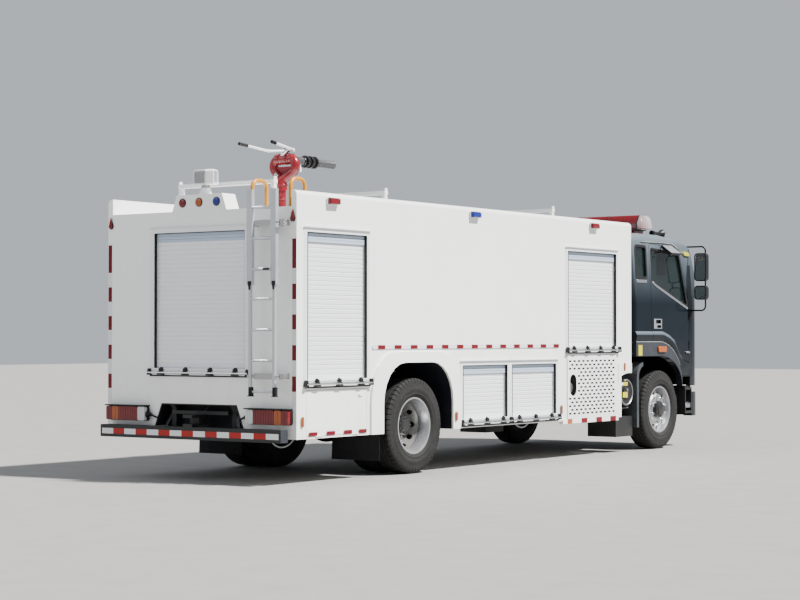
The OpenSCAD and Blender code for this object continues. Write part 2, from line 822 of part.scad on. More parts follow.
// A round bar between two points
module strut(p, q, r) {
  d = q - p;
  translate(p) rotate([0, acos(d[2] / norm(d)), atan2(d[1], d[0])]) cylinder(r = r, h = norm(d));
}

// The barrel, level at rest, with its shaping collars, trunnions and handlebar
barrel_len = 845;
module monitor_barrel() {
  place() color(black) translate([monitor_x + axis_out, 0, monitor_axis_z]) {
    difference() {
      union() {
        rod_y(0, 0, hub_r, -hub_hw, hub_hw);
        rod_y(0, 0, trunnion_r, -trunnion_hw, trunnion_hw);
        rod_x(0, 0, 44, 20, barrel_len - 310);
        rod_x(0, 0, 41, barrel_len - 310, barrel_len);
        for (x = [335, 413, 491]) rod_x(0, 0, 62, x, x + 24);
      }
      rod_x(0, 0, nozzle_bore_r, 300, barrel_len + 1);
    }
    translate([0, 0, 12]) handlebar();
  }
}

// Two arms that run back from a knob over the hub, each with a grip
module handlebar() {
  strut([10, 0, 28], [45, 0, 82], 18);
  translate([48, 0, 66]) cylinder(r = 30, h = 24);
  strut([48, 0, 80], [60, -66, 90], 12);
  strut([48, 0, 80], [-230, 40, 60], 10.5);
  translate([-230, 40, 60]) sphere(r = 13);
  strut([-230, 40, 60], [-500, 104, 99], 10.5);
  strut([-490, 101.6, 97.6], [-600, 127.7, 113.4], 16);
  translate([60, -66, 90]) sphere(r = 15);
  strut([60, -66, 90], [-480, -262, 107], 10.5);
  strut([-470, -258.4, 106.7], [-580, -298.3, 110.2], 16);
}

// Work lamp: a neck with two rounded heads, one facing back and one turned to the side
module work_lamp_head() {
  place() color(white) translate([100, 0, deck_z + 165 + lamp_foot_h + face_gap]) difference() {
    union() {
      cylinder(r1 = 46, r2 = 32, h = 60);
      translate([-62, 22, 105]) lamp_head();
      translate([10, -118, 105]) rotate([0, 0, 115]) lamp_head();
      rod_y(0, 105, 14, -90, 40);
      block(-25, 25, -75, -20, 40, 115);
    }
    translate([0, 0, -1]) cylinder(r = lamp_pin_r + run_fit, h = 42);
  }
}

module lamp_head() {
  rotate([90, 0, 90]) linear_extrude(70) polygon(rounded(rect(-88, 88, -76, 76), 26));
  translate([69, 0, 0]) rotate([90, 0, 90]) linear_extrude(28) polygon(rounded(rect(-55, 55, -45, 45), 20));
}

// Cab outline from the side, set in by t
function cab_side(t) = concat(
  [[cab_x0 + t, cab_low_z - 10]],
  arc(cab_x0 + 90, cab_top - 90, 90 - t, 90 - t, 180, 90, 4),
  [[cab_x1 - 1200, cab_top - t], [cab_x1 - 900, cab_top - 30 - t], [cab_x1 - 600, cab_top - 75 - t],
   [cab_x1 - 420 - t / 3, cab_top - 125 - t], [cab_x1 - 345 - t / 2, cab_top - 165 - t],
   [cab_x1 - 310 - t, cab_top - 215 - t / 2],
   [cab_x1 - 75 - t, 1810], [cab_x1 - 20 - t, 1500], [cab_x1 - t, 1150], [cab_x1 - t, cab_low_z - 10]]);
cab_low_z = 800;
cab_lean_z = 1900;
cab_lean = 40;

// Cab outline from above, set in by t
function cab_plan(t) = let (r = max(60 - t, 15), rf = 330) concat(
  arc(cab_x0 + t + r, cab_hw - t - r, r, r, 180, 90, 3),
  arc(cab_x1 - rf, cab_hw - rf, rf - t, rf - t, 90, 0, 8),
  arc(cab_x1 - rf, -cab_hw + rf, rf - t, rf - t, 0, -90, 8),
  arc(cab_x0 + t + r, -cab_hw + t + r, r, r, -90, -180, 3));

// Cab outline from the front, set in by t
function cab_front(t) = let (r = 130, hw = cab_hw - t) concat(
  [[-hw, cab_low_z - 10], [-hw, cab_lean_z]],
  arc(-cab_hw + cab_lean + r, cab_top - r, r - t, r - t, 180, 90, 6),
  arc(cab_hw - cab_lean - r, cab_top - r, r - t, r - t, 90, 0, 6),
  [[hw, cab_lean_z], [hw, cab_low_z - 10]]);

// The cab's outer form, set in by t
module cab_form(t) {
  intersection() {
    side_extrude(-cab_hw, cab_hw) polygon(cab_side(t));
    translate([0, 0, cab_low_z]) linear_extrude(cab_top - cab_low_z) polygon(cab_plan(t));
    long_extrude(cab_x0, cab_x1) polygon(cab_front(t));
  }
}

// The wheel arch, and the lip above it that the door ends on: centre, radii
arch_edge = [front_axle_x - 150, 793, 585, 400];
lip_edge = [front_axle_x - 200, 800, 650, 581];
function edge_arc(e, grow, a0, a1, n) = arc(e[0], e[1], e[2] + grow, e[3] + grow, a0, a1, n);

// Outline of a side door, set in by t. Its lower edge follows the lip over the wheel
door_x0 = cab_x0 + 450;
door_x1 = cab_x1 - 420;
function door_outline(t) = let (
    a = [door_x0 + t, 1900], b = [door_x0 + t, 2640 - t],
    c = [door_x1 - 215 - t, 2600 - t], d = [door_x1 - t, 1800]) concat(
  [a], fillet(a, b, c, 40, 4), fillet(b, c, d, 40, 4),
  [d, [door_x1 - t, 1092 + 2.2 * t], [door_x1 - 167, 1146 + t]],
  edge_arc(lip_edge, t, 40, 90, 8), [[door_x0 + t, lip_edge[1] + lip_edge[3] + t]]);

// Outline of the door's window
function window_outline(t) = rounded([[door_x0 + 50 + t, 2155], [door_x0 + 50 + t, 2572 - t],
  [door_x1 - 235 - t, 2530 - t], [door_x1 - 45 - t, 1835 + t], [door_x0 + 160 + t, 2120 + t]], 28);

// Places its children at the two hinges of a door
module door_hinges() {
  for (z = [1330, 1720]) translate([door_x1 - door_gap / 2, cab_hw, z]) children();
}

module cab_shell() {
  place() color(dark) {
    cab_panels();
    both_sides() door_hinges() hinge_fixed();
  }
}

// Plan of the space under the cab floor, open to the rear
module under_plan() {
  rf = 330;
  polygon(concat([[cab_x0 - 1, cab_hw - cab_wall]],
    arc(cab_x1 - rf, cab_hw - rf, rf - cab_wall, rf - cab_wall, 90, 0, 8),
    arc(cab_x1 - rf, -cab_hw + rf, rf - cab_wall, rf - cab_wall, 0, -90, 8),
    [[cab_x0 - 1, -cab_hw + cab_wall]]));
}

module cab_panels() {
  difference() {
    union() {
      difference() {
        cab_form(0);
        intersection() {
          cab_form(cab_wall);
          block(cab_x0, cab_x1, -cab_hw, cab_hw, cab_floor_z + 60, cab_top);
        }
        translate([0, 0, cab_low_z - 1]) linear_extrude(cab_floor_z - cab_low_z + 1) under_plan();
        both_sides() bracket_room();
        both_sides() side_extrude(cab_hw - cab_wall - 1, cab_hw + 1) polygon(cab_arch());
        block(cab_x1 - 35, cab_x1 + 1, -grille_hw, grille_hw, grille_z[0], grille_z[1]);
      }
      both_sides() {
        tilt_lug();
        fascia();
        side_extrude(cab_hw - 20, cab_hw + shoulder_out) difference() {
          polygon(shoulder_outline());
          translate([door_x0, 1000]) square([cab_x1 - door_x0, 600]);
        }
        corner_panel();
      }
    }
    both_sides() {
      door_hinges() hinge_room();
      side_extrude(cab_hw - 110, cab_hw + 40) polygon(door_outline(0));
      block(cab_x1 - 610, cab_x1 - 400, cab_hw - 150, cab_hw + 50, cab_low_z - 1, 920);
      side_extrude(cab_hw - 200, cab_hw + 1) polygon(quarter_window(0));
      rod_y(tilt_x, tilt_z, tilt_pin_r + run_fit, frame_w / 2 - 95, frame_w / 2 + 55);
    }
    windscreen_cut(0);
  }
}

function quarter_window(t) = rounded(rect(cab_x0 + 85 + t, cab_x0 + 360 - t, 2190 + t, 2590 - t), 35);

// The lower side cut away over the front wheel
function cab_arch() = concat([[cab_x0 - 9, cab_low_z - 9], [cab_x0 - 9, arch_edge[1] + arch_edge[3]]],
  edge_arc(arch_edge, 0, 90, 0, 10), [[arch_edge[0] + arch_edge[2], cab_low_z - 9]]);

// Fender: a proud panel between the arch and the lip, the shoulder over it, and the front corner
fascia_out = 20;
shoulder_out = 8;
module fascia() {
  side_extrude(cab_hw - 20, cab_hw + fascia_out) polygon(concat(
    [[cab_x0 + 8, arch_edge[1] + arch_edge[3]]], edge_arc(arch_edge, 0, 90, 1, 10),
    edge_arc(lip_edge, -2, 0, 90, 10), [[cab_x0 + 8, lip_edge[1] + lip_edge[3] - 2]]));
}

function shoulder_outline() = concat(
  [[cab_x0 + 8, 1375], [lip_edge[0], 1375]], edge_arc(lip_edge, -6, 88, 40, 8),
  [for (p = [[510, 1140], [380, 1228], [315, 1318], [243, 1400], [87, 1468], [-80, 1511]])
     [front_axle_x + p[0], p[1]]], [[cab_x0 + 8, 1511]]);

module corner_panel() {
  side_extrude(cab_hw - 20, cab_hw + shoulder_out + 4) polygon(concat(
    [[door_x1 + 45, 935], [door_x1 + 45, 1075], [door_x1 - 5, 1086], [door_x1 - 167, 1140]],
    edge_arc(lip_edge, 0, 39, 14, 6)));
}

module windscreen_cut(t) {
  long_extrude(cab_x1 - 500, cab_x1 + 10)
    polygon(rounded([[-cab_hw + 165 + t, 1830 + t], [cab_hw - 165 - t, 1830 + t], [cab_hw - 215 - t, 2500 - t],
      [-cab_hw + 215 + t, 2500 - t]], 60));
}

// Lug on the cab's front cross member, bored for the tilt pin
module tilt_lug() {
  rod_y(tilt_x, tilt_z, 42, frame_w / 2 - 75, frame_w / 2 + 35);
  block(tilt_x - 10, cab_x1 - 15, frame_w / 2 - 75, frame_w / 2 + 35, tilt_z - 30, tilt_z + 50);
}

// Room cut in the cab's front wall, so that it swings past the frame's brackets
module bracket_room() {
  block(cab_x1 - 65, cab_x1 - 20, frame_w / 2 - 105, frame_w / 2 + 65, cab_low_z - 1, tilt_z + 50);
}

module cab_glass() {
  place() color("#5a6468") intersection() {
    difference() {
      cab_form(20);
      cab_form(28);
    }
    union() {
      windscreen_cut(0);
      both_sides() side_extrude(cab_hw - 200, cab_hw + 1) polygon(quarter_window(0));
    }
  }
}

module door_panel() {
  difference() {
    intersection() {
      difference() {
        cab_form(0);
        cab_form(cab_wall);
      }
      side_extrude(cab_hw - 190, cab_hw + 1) polygon(door_outline(door_gap));
    }
    side_extrude(cab_hw - 201, cab_hw + 2) polygon(window_outline(0));
    block(door_x0 - 1, door_x1 + 1, cab_hw - 201, cab_hw - 20, 1000, lip_edge[1] + lip_edge[3] + 10);
    side_extrude(cab_hw - 26, cab_hw + 1) polygon(rounded(rect(door_x0 + 60, door_x0 + 290, 1540, 1680), 15));
    door_hinges() hinge_room();
  }
  intersection() {
    side_extrude(cab_hw - 20, cab_hw + shoulder_out) polygon(shoulder_outline());
    side_extrude(cab_hw - 190, cab_hw + 40) polygon(door_outline(door_gap));
  }
  handle_plate();
  door_hinges() hinge_moving();
}

// Handle: a plate in the door's recess, with a finger hole and a bar left across it
module handle_plate() {
  difference() {
    side_extrude(cab_hw - 27, cab_hw + 3) polygon(rounded(rect(door_x0 + 65, door_x0 + 285, 1545, 1675), 12));
    side_extrude(cab_hw - 20, cab_hw + 4) polygon(rounded(rect(door_x0 + 120, door_x0 + 255, 1612, 1660), 10));
    side_extrude(cab_hw - 20, cab_hw + 4) polygon(rounded(rect(door_x0 + 150, door_x0 + 262, 1556, 1592), 8));
  }
}

module door_glass() {
  intersection() {
    difference() {
      cab_form(24);
      cab_form(31);
    }
    side_extrude(cab_hw - 190, cab_hw + 1) polygon(window_outline(0));
  }
}

module door_right() { place() color(dark) scale_y(-1) door_panel(); }
module door_left() { place() color(dark) door_panel(); }
module door_glass_right() { place() color("#5a6468") scale_y(-1) door_glass(); }
module door_glass_left() { place() color("#5a6468") door_glass(); }

// Dashboard with the steering wheel
wheel_x = cab_x1 - 700;
module dashboard() {
  place() color(black) {
    intersection() {
      side_extrude(-cab_hw + cab_wall + 20, cab_hw - cab_wall - 20)
        polygon([[cab_x1 - 440, cab_floor_z + 60], [cab_x1 - 190, cab_floor_z + 60],
          [cab_x1 - 190, 1780], [cab_x1 - 300, 1800], [cab_x1 - 440, 1740]]);
      cab_form(cab_wall + face_gap);
    }
    translate([wheel_x, 560, 1790]) rotate([0, -25, 0]) {
      rotate_extrude() translate([215, 0]) circle(r = 14);
      cylinder(r = 60, h = 24, center = true);
      for (a = [30, 150, 270]) rotate(a) translate([0, -14, -8]) cube([215, 28, 16]);
    }
    translate([wheel_x, 560, 1790]) rotate([0, 110, 0]) cylinder(r = 26, h = 330);
  }
}

module seats() {
  place() color("#3a3d42") for (y = [-560, 560]) {
    x = cab_x0 + 430;
    block(x, x + 480, y - 250, y + 250, cab_floor_z + 60, cab_floor_z + 360);
    side_extrude(y - 240, y + 240) polygon([[x - 40, cab_floor_z + 340], [x + 110, cab_floor_z + 340],
      [x - 10, cab_floor_z + 960], [x - 130, cab_floor_z + 960]]);
    side_extrude(y - 140, y + 140) polygon([[x - 20, cab_floor_z + 950], [x - 130, cab_floor_z + 950],
      [x - 150, cab_floor_z + 1130], [x - 50, cab_floor_z + 1130]]);
  }
}

// Mirrors: a bent tube arm on each front corner, with a main and a wide-angle housing
mirror_x = cab_x1 - 350;
mirror_y = cab_hw + 150;
arm_r = 11;
arm_bend = 60;
module mirrors() {
  place() color(black) {
    both_sides() {
      mirror_housing(2175, 2546);
      mirror_housing(1930, 2118);
    }
    difference() {
      union() {
        both_sides() mirror_arm(1790, 2632);
        roof_horn();
      }
      cab_form(-face_gap);
    }
  }
}

module mirror_housing(z0, z1) {
  translate([mirror_x - 40, 0, 0]) rotate([90, 0, 90]) linear_extrude(74)
    polygon(rounded(rect(mirror_y - 87, mirror_y + 87, z0, z1), 45));
}

module mirror_arm(z0, z1) {
  y = mirror_y + 55;
  rod_y(mirror_x, z0, arm_r, cab_hw - 20, y - arm_bend);
  rod_y(mirror_x, z1, arm_r, cab_hw - 150, y - arm_bend);
  block(mirror_x - 16, mirror_x + 16, cab_hw - 150, cab_hw - 95, z1 - 60, z1 + 8);
  translate([mirror_x, y, z0 + arm_bend]) cylinder(r = arm_r, h = z1 - z0 - 2 * arm_bend);
  translate([mirror_x, y - arm_bend, z0 + arm_bend]) rotate([90, 0, 90]) rotate([0, 0, -90])
    rotate_extrude(angle = 90) translate([arm_bend, 0]) circle(r = arm_r);
  translate([mirror_x, y - arm_bend, z1 - arm_bend]) rotate([90, 0, 90])
    rotate_extrude(angle = 90) translate([arm_bend, 0]) circle(r = arm_r);
}

// Air horn on the roof's right side
module roof_horn() {
  translate([cab_x1 - 780, -880, cab_top + 45]) rotate([0, 90, 0]) {
    cylinder(r = 34, h = 60);
    translate([0, 0, 60]) cylinder(r1 = 16, r2 = 30, h = 180);
    translate([0, 0, 240]) cylinder(r1 = 30, r2 = 62, h = 60);
  }
  block(cab_x1 - 765, cab_x1 - 735, -900, -860, cab_top - 60, cab_top + 20);
}

// Kerb mirror over the right door, tilted down outwards, on two stays from the door's frame
module kerb_mirror() {
  place() color(black) scale_y(-1) {
    translate([door_x0 + 270, cab_hw - 8, 2606]) rotate([-37, 0, 0]) {
      linear_extrude(26) polygon(rounded(rect(0, 275, 0, 185), 18));
      translate([0, 0, -14]) linear_extrude(15) polygon(rounded(rect(12, 263, 12, 173), 14));
    }
    difference() {
      for (x = [door_x0 + 320, door_x0 + 460]) block(x, x + 22, cab_hw - 75, cab_hw + 25, 2592, 2606);
      cab_form(-face_gap);
    }
  }
}

// Sun visor: a strip that follows the windscreen's head, on three brackets
module sun_visor() {
  place() color(black) {
    intersection() {
      difference() {
        cab_form(-46);
        cab_form(-38);
      }
      block(cab_x1 - 460, cab_x1, -cab_hw + 165, cab_hw - 165, 2440, 2590);
    }
    intersection() {
      difference() {
        cab_form(-40);
        cab_form(-face_gap);
      }
      for (y = [-1000, -10, 980]) block(cab_x1 - 460, cab_x1, y, y + 20, 2530, 2580);
    }
  }
}

// Light bar: a lens with slanted sides on a narrower base
bar_x = cab_x1 - 1130;
bar_hw = 985;
module light_bar() {
  place() color(red) {
    side_extrude(-bar_hw, bar_hw) polygon(rounded([[bar_x - 150, cab_top + 70], [bar_x + 150, cab_top + 70],
      [bar_x + 150, cab_top + 130], [bar_x + 85, cab_top + 255], [bar_x - 85, cab_top + 255],
      [bar_x - 150, cab_top + 130]], 30));
    side_extrude(-bar_hw + 160, bar_hw - 160) polygon(rect(bar_x - 130, bar_x + 130, cab_top + 30, cab_top + 72));
    difference() {
      both_sides() block(bar_x - 90, bar_x + 90, 520, 600, cab_top - 40, cab_top + 31);
      cab_form(-face_gap);
    }
  }
}

// Grille: a frame in the cab's front recess, with level slats
grille_hw = 780;
grille_z = [960, 1440];
module grille() {
  place() color(black) {
    difference() {
      block(cab_x1 - 35 + face_gap, cab_x1 + 6, -grille_hw + 5, grille_hw - 5, grille_z[0] + 5, grille_z[1] - 5);
      block(cab_x1 - 24, cab_x1 + 7, -grille_hw + 35, grille_hw - 35, grille_z[0] + 35, grille_z[1] - 35);
    }
    for (i = [0:5]) let (z = grille_z[0] + 65 + i * 65)
      side_extrude(-grille_hw + 30, grille_hw - 30)
        polygon([[cab_x1 - 25, z], [cab_x1 + 2, z - 12], [cab_x1 + 2, z + 8], [cab_x1 - 25, z + 20]]);
  }
}

// Headlamps let into the bumper's face
lamp_y = [cab_hw - 545, cab_hw - 235];
module head_lamps() {
  place() color(steel) both_sides()
    block(cab_x1 - 61 + face_gap, cab_x1 - 1, lamp_y[0] + 3, lamp_y[1] - 3, 533, 667);
}

module cab_steps() {
  place() color(dark) both_sides() difference() {
    block(front_axle_x + 580, bumper_x0, cab_hw - 225, cab_hw - 10, 435, 780);
    block(front_axle_x + 600, bumper_x0 - 15, cab_hw - 195, cab_hw, 575, 745);
    block(front_axle_x + 600, bumper_x0 - 15, cab_hw - 155, cab_hw, 470, 510);
  }
}

// Wheels, drawn about the Y axis with the outer side at +y

module wheel_turn() { rotate([-90, 0, 0]) rotate_extrude($fn = 96) children(); }

// Tyre profile in (radius, width), with rounded shoulders
module tyre_profile() {
  h = tyre_w / 2;
  w = rim_w / 2;
  polygon([[rim_r + 0.5, -w + 15.5], [rim_r + 13.5, -w + 11], [rim_r + 14, -w + 2], [rim_r + 30, -h + 12],
    [rim_r + 90, -h], [tyre_r - 75, -h + 2], [tyre_r - 18, -h + 22], [tyre_r - 4, -h + 45], [tyre_r, 0],
    [tyre_r - 4, h - 45], [tyre_r - 18, h - 22], [tyre_r - 75, h - 2], [rim_r + 90, h],
    [rim_r + 30, h - 12], [rim_r + 14, w - 2], [rim_r + 13.5, w - 11], [rim_r + 0.5, w - 15.5]]);
}

module tyre() { wheel_turn() tyre_profile(); }

// Rim barrel in (radius, width)
module rim_barrel() {
  w = rim_w / 2;
  wheel_turn() polygon([[rim_r - 16, -w], [rim_r + 13, -w], [rim_r + 13, -w + 10], [rim_r, -w + 14],
    [rim_r - 2, -w + 40], [rim_r - 20, 0], [rim_r - 2, w - 40], [rim_r, w - 14], [rim_r + 13, w - 10],
    [rim_r + 13, w], [rim_r - 16, w], [rim_r - 16, w - 40], [rim_r - 32, 0], [rim_r - 16, -w + 40]]);
}

// A disc at depth y with studs, hand holes and a hub cap. y_out is the hub's outer end
module wheel_disc(y, y_out, holes, hole_r) {
  difference() {
    union() {
      wheel_turn() polygon([[60, y - 6], [195, y - 6], [rim_r - 34, 0], [rim_r - 22, 0], [rim_r - 26, 20],
        [205, y + 8], [60, y + 8]]);
      rod_y(0, 0, 105, y - 60, y_out);
      for (i = [0:stud_count - 1]) rotate([0, i * 360 / stud_count, 0]) rod_y(stud_pcd_r, 0, 16, y + 7, y + 38);
    }
    for (i = [0:holes - 1]) rotate([0, (i + 0.5) * 360 / holes, 0])
      rod_y(218, 0, hole_r, -200, 200);
    rod_y(0, 0, spindle_r + run_fit, y - 61, y_out - 20);
  }
}

module front_wheel() {
  rim_barrel();
  wheel_disc(70, 118, stud_count, 17);
}

module front_rim_right() { place() color(steel) scale_y(-1) front_rim(); }
module front_rim_left() { place() color(steel) front_rim(); }
module front_rim() { translate([front_axle_x, front_tyre_y, axle_z]) front_wheel(); }
module front_tyre_right() { place() color(black) scale_y(-1) front_tyre(); }
module front_tyre_left() { place() color(black) front_tyre(); }
module front_tyre() { translate([front_axle_x, front_tyre_y, axle_z]) tyre(); }

module rear_pair() {
  for (y = [rear_tyre_y, rear_tyre_y - twin_pitch]) translate([rear_axle_x, y, axle_z]) children();
}

module rear_tyres() { rear_pair() tyre(); }

// Disc of a rear rim: flat at the hub and coned out to its barrel. Drawn in (radius, depth)
module rear_disc(s) {
  wheel_turn() polygon([for (p = [[60, -160], [198, -160], [rim_r - 23, -25], [rim_r - 23, -2],
    [rim_r - 34, -2], [190, -148], [60, -148]]) [p[0], s * p[1]]]);
}

module rear_rims() {
  difference() {
    union() {
      rear_pair() rim_barrel();
      translate([rear_axle_x, rear_tyre_y, axle_z]) rear_disc(1);
      translate([rear_axle_x, rear_tyre_y - twin_pitch, axle_z]) rear_disc(-1);
      translate([rear_axle_x, rear_tyre_y, axle_z]) {
        rod_y(0, 0, 130, -230, 20);
        for (i = [0:stud_count - 1]) rotate([0, i * 360 / stud_count, 0])
          rod_y(stud_pcd_r, 0, 16, -165, -115);
      }
    }
    translate([rear_axle_x, rear_tyre_y, axle_z]) {
      for (i = [0:7]) rotate([0, (i + 0.5) * 45, 0]) rod_y(216, 0, 20, -300, 0);
      rod_y(0, 0, spindle_r + 10 + run_fit, -400, 0);
    }
  }
}

module rear_tyres_right() { place() color(black) scale_y(-1) rear_tyres(); }
module rear_tyres_left() { place() color(black) rear_tyres(); }
module rear_rims_right() { place() color(steel) scale_y(-1) rear_rims(); }
module rear_rims_left() { place() color(steel) rear_rims(); }

// Steering knuckle: kingpin, yoke and wheel spindle
module knuckle() {
  translate([front_axle_x, kingpin_y, axle_z]) {
    translate([0, 0, -110]) cylinder(r = kingpin_r, h = 220);
    for (z = [-90, 52]) translate([-45, -40, z]) cube([90, 100, 38]);
    translate([-45, 58, -90]) cube([90, 24, 180]);
    rod_y(0, 0, spindle_r, 80, 230);
  }
}

module knuckle_right() { place() color(dark) scale_y(-1) knuckle(); }
module knuckle_left() { place() color(dark) knuckle(); }

frame_rails();
engine_block();
front_axle();
rear_axle();
leaf_springs();
mudguards();
tanks();
rear_bumper();
body_rear();
body_arch();
body_middle();
body_front();
shutters();
pump_panels();
light_box();
lamps();
ladder_upper();
ladder_lower();
grab_rails();
roof_rack();
monitor_base();
monitor_fork();
monitor_barrel();
work_lamp_head();
front_bumper();
head_lamps();
cab_steps();
cab_shell();
cab_glass();
dashboard();
seats();
mirrors();
kerb_mirror();
sun_visor();
light_bar();
grille();
door_right();
door_left();
door_glass_right();
door_glass_left();
knuckle_right();
knuckle_left();
front_tyre_right();
front_tyre_left();
front_rim_right();
front_rim_left();
rear_tyres_right();
rear_tyres_left();
rear_rims_right();
rear_rims_left();
flap_right();
flap_left();
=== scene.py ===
import math

import bmesh
import bpy
from mathutils import Matrix, Vector


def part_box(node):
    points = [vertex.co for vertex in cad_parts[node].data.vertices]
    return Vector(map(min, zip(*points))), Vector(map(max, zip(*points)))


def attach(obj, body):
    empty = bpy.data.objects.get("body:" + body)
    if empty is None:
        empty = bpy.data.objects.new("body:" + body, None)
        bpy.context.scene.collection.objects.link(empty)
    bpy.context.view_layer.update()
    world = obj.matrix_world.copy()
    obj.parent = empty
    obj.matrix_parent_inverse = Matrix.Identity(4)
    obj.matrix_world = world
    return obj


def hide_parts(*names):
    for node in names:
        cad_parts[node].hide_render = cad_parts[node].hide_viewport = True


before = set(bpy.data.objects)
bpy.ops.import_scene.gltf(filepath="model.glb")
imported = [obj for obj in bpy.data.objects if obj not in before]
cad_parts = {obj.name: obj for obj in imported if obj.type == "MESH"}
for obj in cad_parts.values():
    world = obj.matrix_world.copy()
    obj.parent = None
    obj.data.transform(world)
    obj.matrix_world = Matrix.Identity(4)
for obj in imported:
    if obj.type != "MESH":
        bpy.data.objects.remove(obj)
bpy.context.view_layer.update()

# Lengths are in metres. Shapes count x from the body's rear face, which is at REAR in the frame
BODY_LOW, BODY_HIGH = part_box("body_rear")
REAR, BODY_HW = BODY_LOW[0], BODY_HIGH[1]
CAB_HW = 1.245
CAB_X0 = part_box("body_front")[1][0] - REAR + 0.092
CAB_X1 = CAB_X0 + 1.930
BEAM_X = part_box("rear_bumper")[0][0] - REAR
AXLE_Z, FRONT_X, REAR_X = 0.506, 7.650, 2.100
SIDES = (-1, 1)


def aimed(name, data, location, look):
    """A camera or light that looks along a direction."""
    obj = bpy.data.objects.new(name, data)
    obj.location = location
    obj.rotation_euler = look.to_track_quat("-Z", "Y").to_euler()
    bpy.context.scene.collection.objects.link(obj)
    return obj


def camera():
    data = bpy.data.cameras.new("camera")
    data.lens = 86.2
    data.sensor_width = 36.0
    yaw, pitch = math.radians(35.35), math.radians(1.09)
    look = Vector((math.cos(yaw) * math.cos(pitch), math.sin(yaw) * math.cos(pitch), math.sin(pitch)))
    bpy.context.scene.camera = aimed("camera", data, (-18.802, -12.765, 1.447), look)


camera()


# Materials
class Nodes:
    """A material's node tree, with short calls to add and link its nodes."""

    def __init__(self, name):
        self.mat = bpy.data.materials.new(name)
        self.mat.use_nodes = True
        self.tree = self.mat.node_tree
        self.tree.nodes.clear()
        out = self.add("ShaderNodeOutputMaterial")
        self.bsdf = self.add("ShaderNodeBsdfPrincipled")
        self.put(out.inputs[0], self.bsdf.outputs[0])
        self.obj = self.add("ShaderNodeTexCoord").outputs["Object"]

    def add(self, kind, inputs=None, **props):
        node = self.tree.nodes.new(kind)
        for key, value in props.items():
            setattr(node, key, value)
        for key, value in (inputs or {}).items():
            self.put(node.inputs[key], value)
        return node

    def put(self, socket, value):
        if isinstance(value, bpy.types.NodeSocket):
            self.tree.links.new(value, socket)
        else:
            socket.default_value = (*value, 1.0) if socket.type == "RGBA" else value

    def noise(self, scale, detail=4.0, stretch=None):
        vector = self.obj
        if stretch:
            vector = self.add("ShaderNodeMapping", {"Vector": vector, "Scale": stretch}).outputs[0]
        inputs = {"Vector": vector, "Scale": scale, "Detail": detail, "Roughness": 0.55}
        return self.add("ShaderNodeTexNoise", inputs).outputs["Fac"]

    def ramp(self, fac, low, high, lo=0.3, hi=0.7):
        node = self.add("ShaderNodeValToRGB", {"Fac": fac})
        for stop, place, colour in zip(node.color_ramp.elements, (lo, hi), (low, high)):
            stop.position = place
            stop.color = (*colour, 1.0)
        return node.outputs["Color"]

    def grey(self, fac, a, b, lo=0.3, hi=0.7):
        inputs = {"Value": fac, "From Min": lo, "From Max": hi, "To Min": a, "To Max": b}
        return self.add("ShaderNodeMapRange", inputs).outputs["Result"]

    def math(self, op, a, b=0.0):
        return self.add("ShaderNodeMath", {0: a, 1: b}, operation=op).outputs[0]

    def times(self, a, b):
        return self.math("MULTIPLY", a, b)

    def mix(self, fac, a, b):
        return self.add("ShaderNodeMix", {0: fac, 6: a, 7: b}, data_type="RGBA").outputs[2]

    def along(self, axis, vector=None):
        return self.add("ShaderNodeSeparateXYZ", {"Vector": vector or self.obj}).outputs[axis]

    def bump(self, fac, strength, distance):
        node = self.add("ShaderNodeBump", {"Height": fac, "Strength": strength, "Distance": distance})
        self.put(self.bsdf.inputs["Normal"], node.outputs[0])

    def set(self, **values):
        for key, value in values.items():
            self.put(self.bsdf.inputs[key.replace("_", " ")], value)


def scaled(c, k):
    return tuple(min(1.0, v * k) for v in c)


def paint(name, colour, rough=0.3, coat=0.4, dust=0.25, low=0.4, high=1.6, vary=0.94):
    """Sprayed paint: a faint mottle, orange peel, and road dust that thickens towards the ground."""
    n = Nodes(name)
    cloud = n.noise(1.7, 5.0)
    grime = n.grey(n.noise(9.0, 7.0, (1.0, 1.0, 0.35)), 0.2, 1.0, 0.35, 0.75)
    amount = n.times(n.times(n.grey(n.along("Z"), 1.0, 0.0, low, high), grime), dust)
    n.set(Base_Color=n.mix(amount, n.ramp(cloud, scaled(colour, vary), colour), (0.42, 0.37, 0.30)),
          Roughness=n.math("ADD", n.grey(cloud, rough * 0.85, rough * 1.15), n.times(amount, 0.5)),
          Coat_Weight=coat, Coat_Roughness=0.12, Specular_IOR_Level=0.5)
    n.bump(n.noise(220.0, 2.0), 0.05, 0.0006)
    return n.mat


def cab_paint(name):
    """Very dark blue-grey gloss with a painted sky sheen: paler towards the roof and on upward-facing ledges.
    A little road dust greys it low down.
    """
    n = Nodes(name)
    cloud = n.noise(1.3, 5.0)
    dark = n.ramp(cloud, (0.0020, 0.0046, 0.0078), (0.0034, 0.0066, 0.0104))
    # Painted sky sheen: a pale blue-grey tone mixed in higher up the cab and on faces that look upwards
    pale = n.ramp(n.noise(3.0, 5.0), (0.110, 0.138, 0.162), (0.136, 0.166, 0.190))
    rise = n.math("POWER", n.grey(n.along("Z"), 0.0, 1.0, 1.85, 2.85), 1.3)
    upward = n.along("Z", n.add("ShaderNodeTexCoord").outputs["Normal"])
    ledge_sheen = n.times(n.grey(upward, 0.0, 1.0, 0.12, 0.55), 0.85)
    grime = n.times(n.grey(n.along("Z"), 1.0, 0.0, 0.7, 1.5), n.grey(n.noise(9.0, 7.0), 0.2, 1.0, 0.35, 0.75))
    tone = n.mix(n.math("MAXIMUM", rise, ledge_sheen), dark, pale)
    n.set(Base_Color=n.mix(n.times(grime, 0.07), tone, (0.24, 0.22, 0.19)),
          Roughness=n.math("ADD", n.grey(cloud, 0.15, 0.20), n.times(grime, 0.15)),
          Coat_Weight=0.06, Coat_Roughness=0.05, Specular_IOR_Level=0.12)
    n.bump(n.noise(220.0, 2.0), 0.04, 0.0006)
    return n.mat


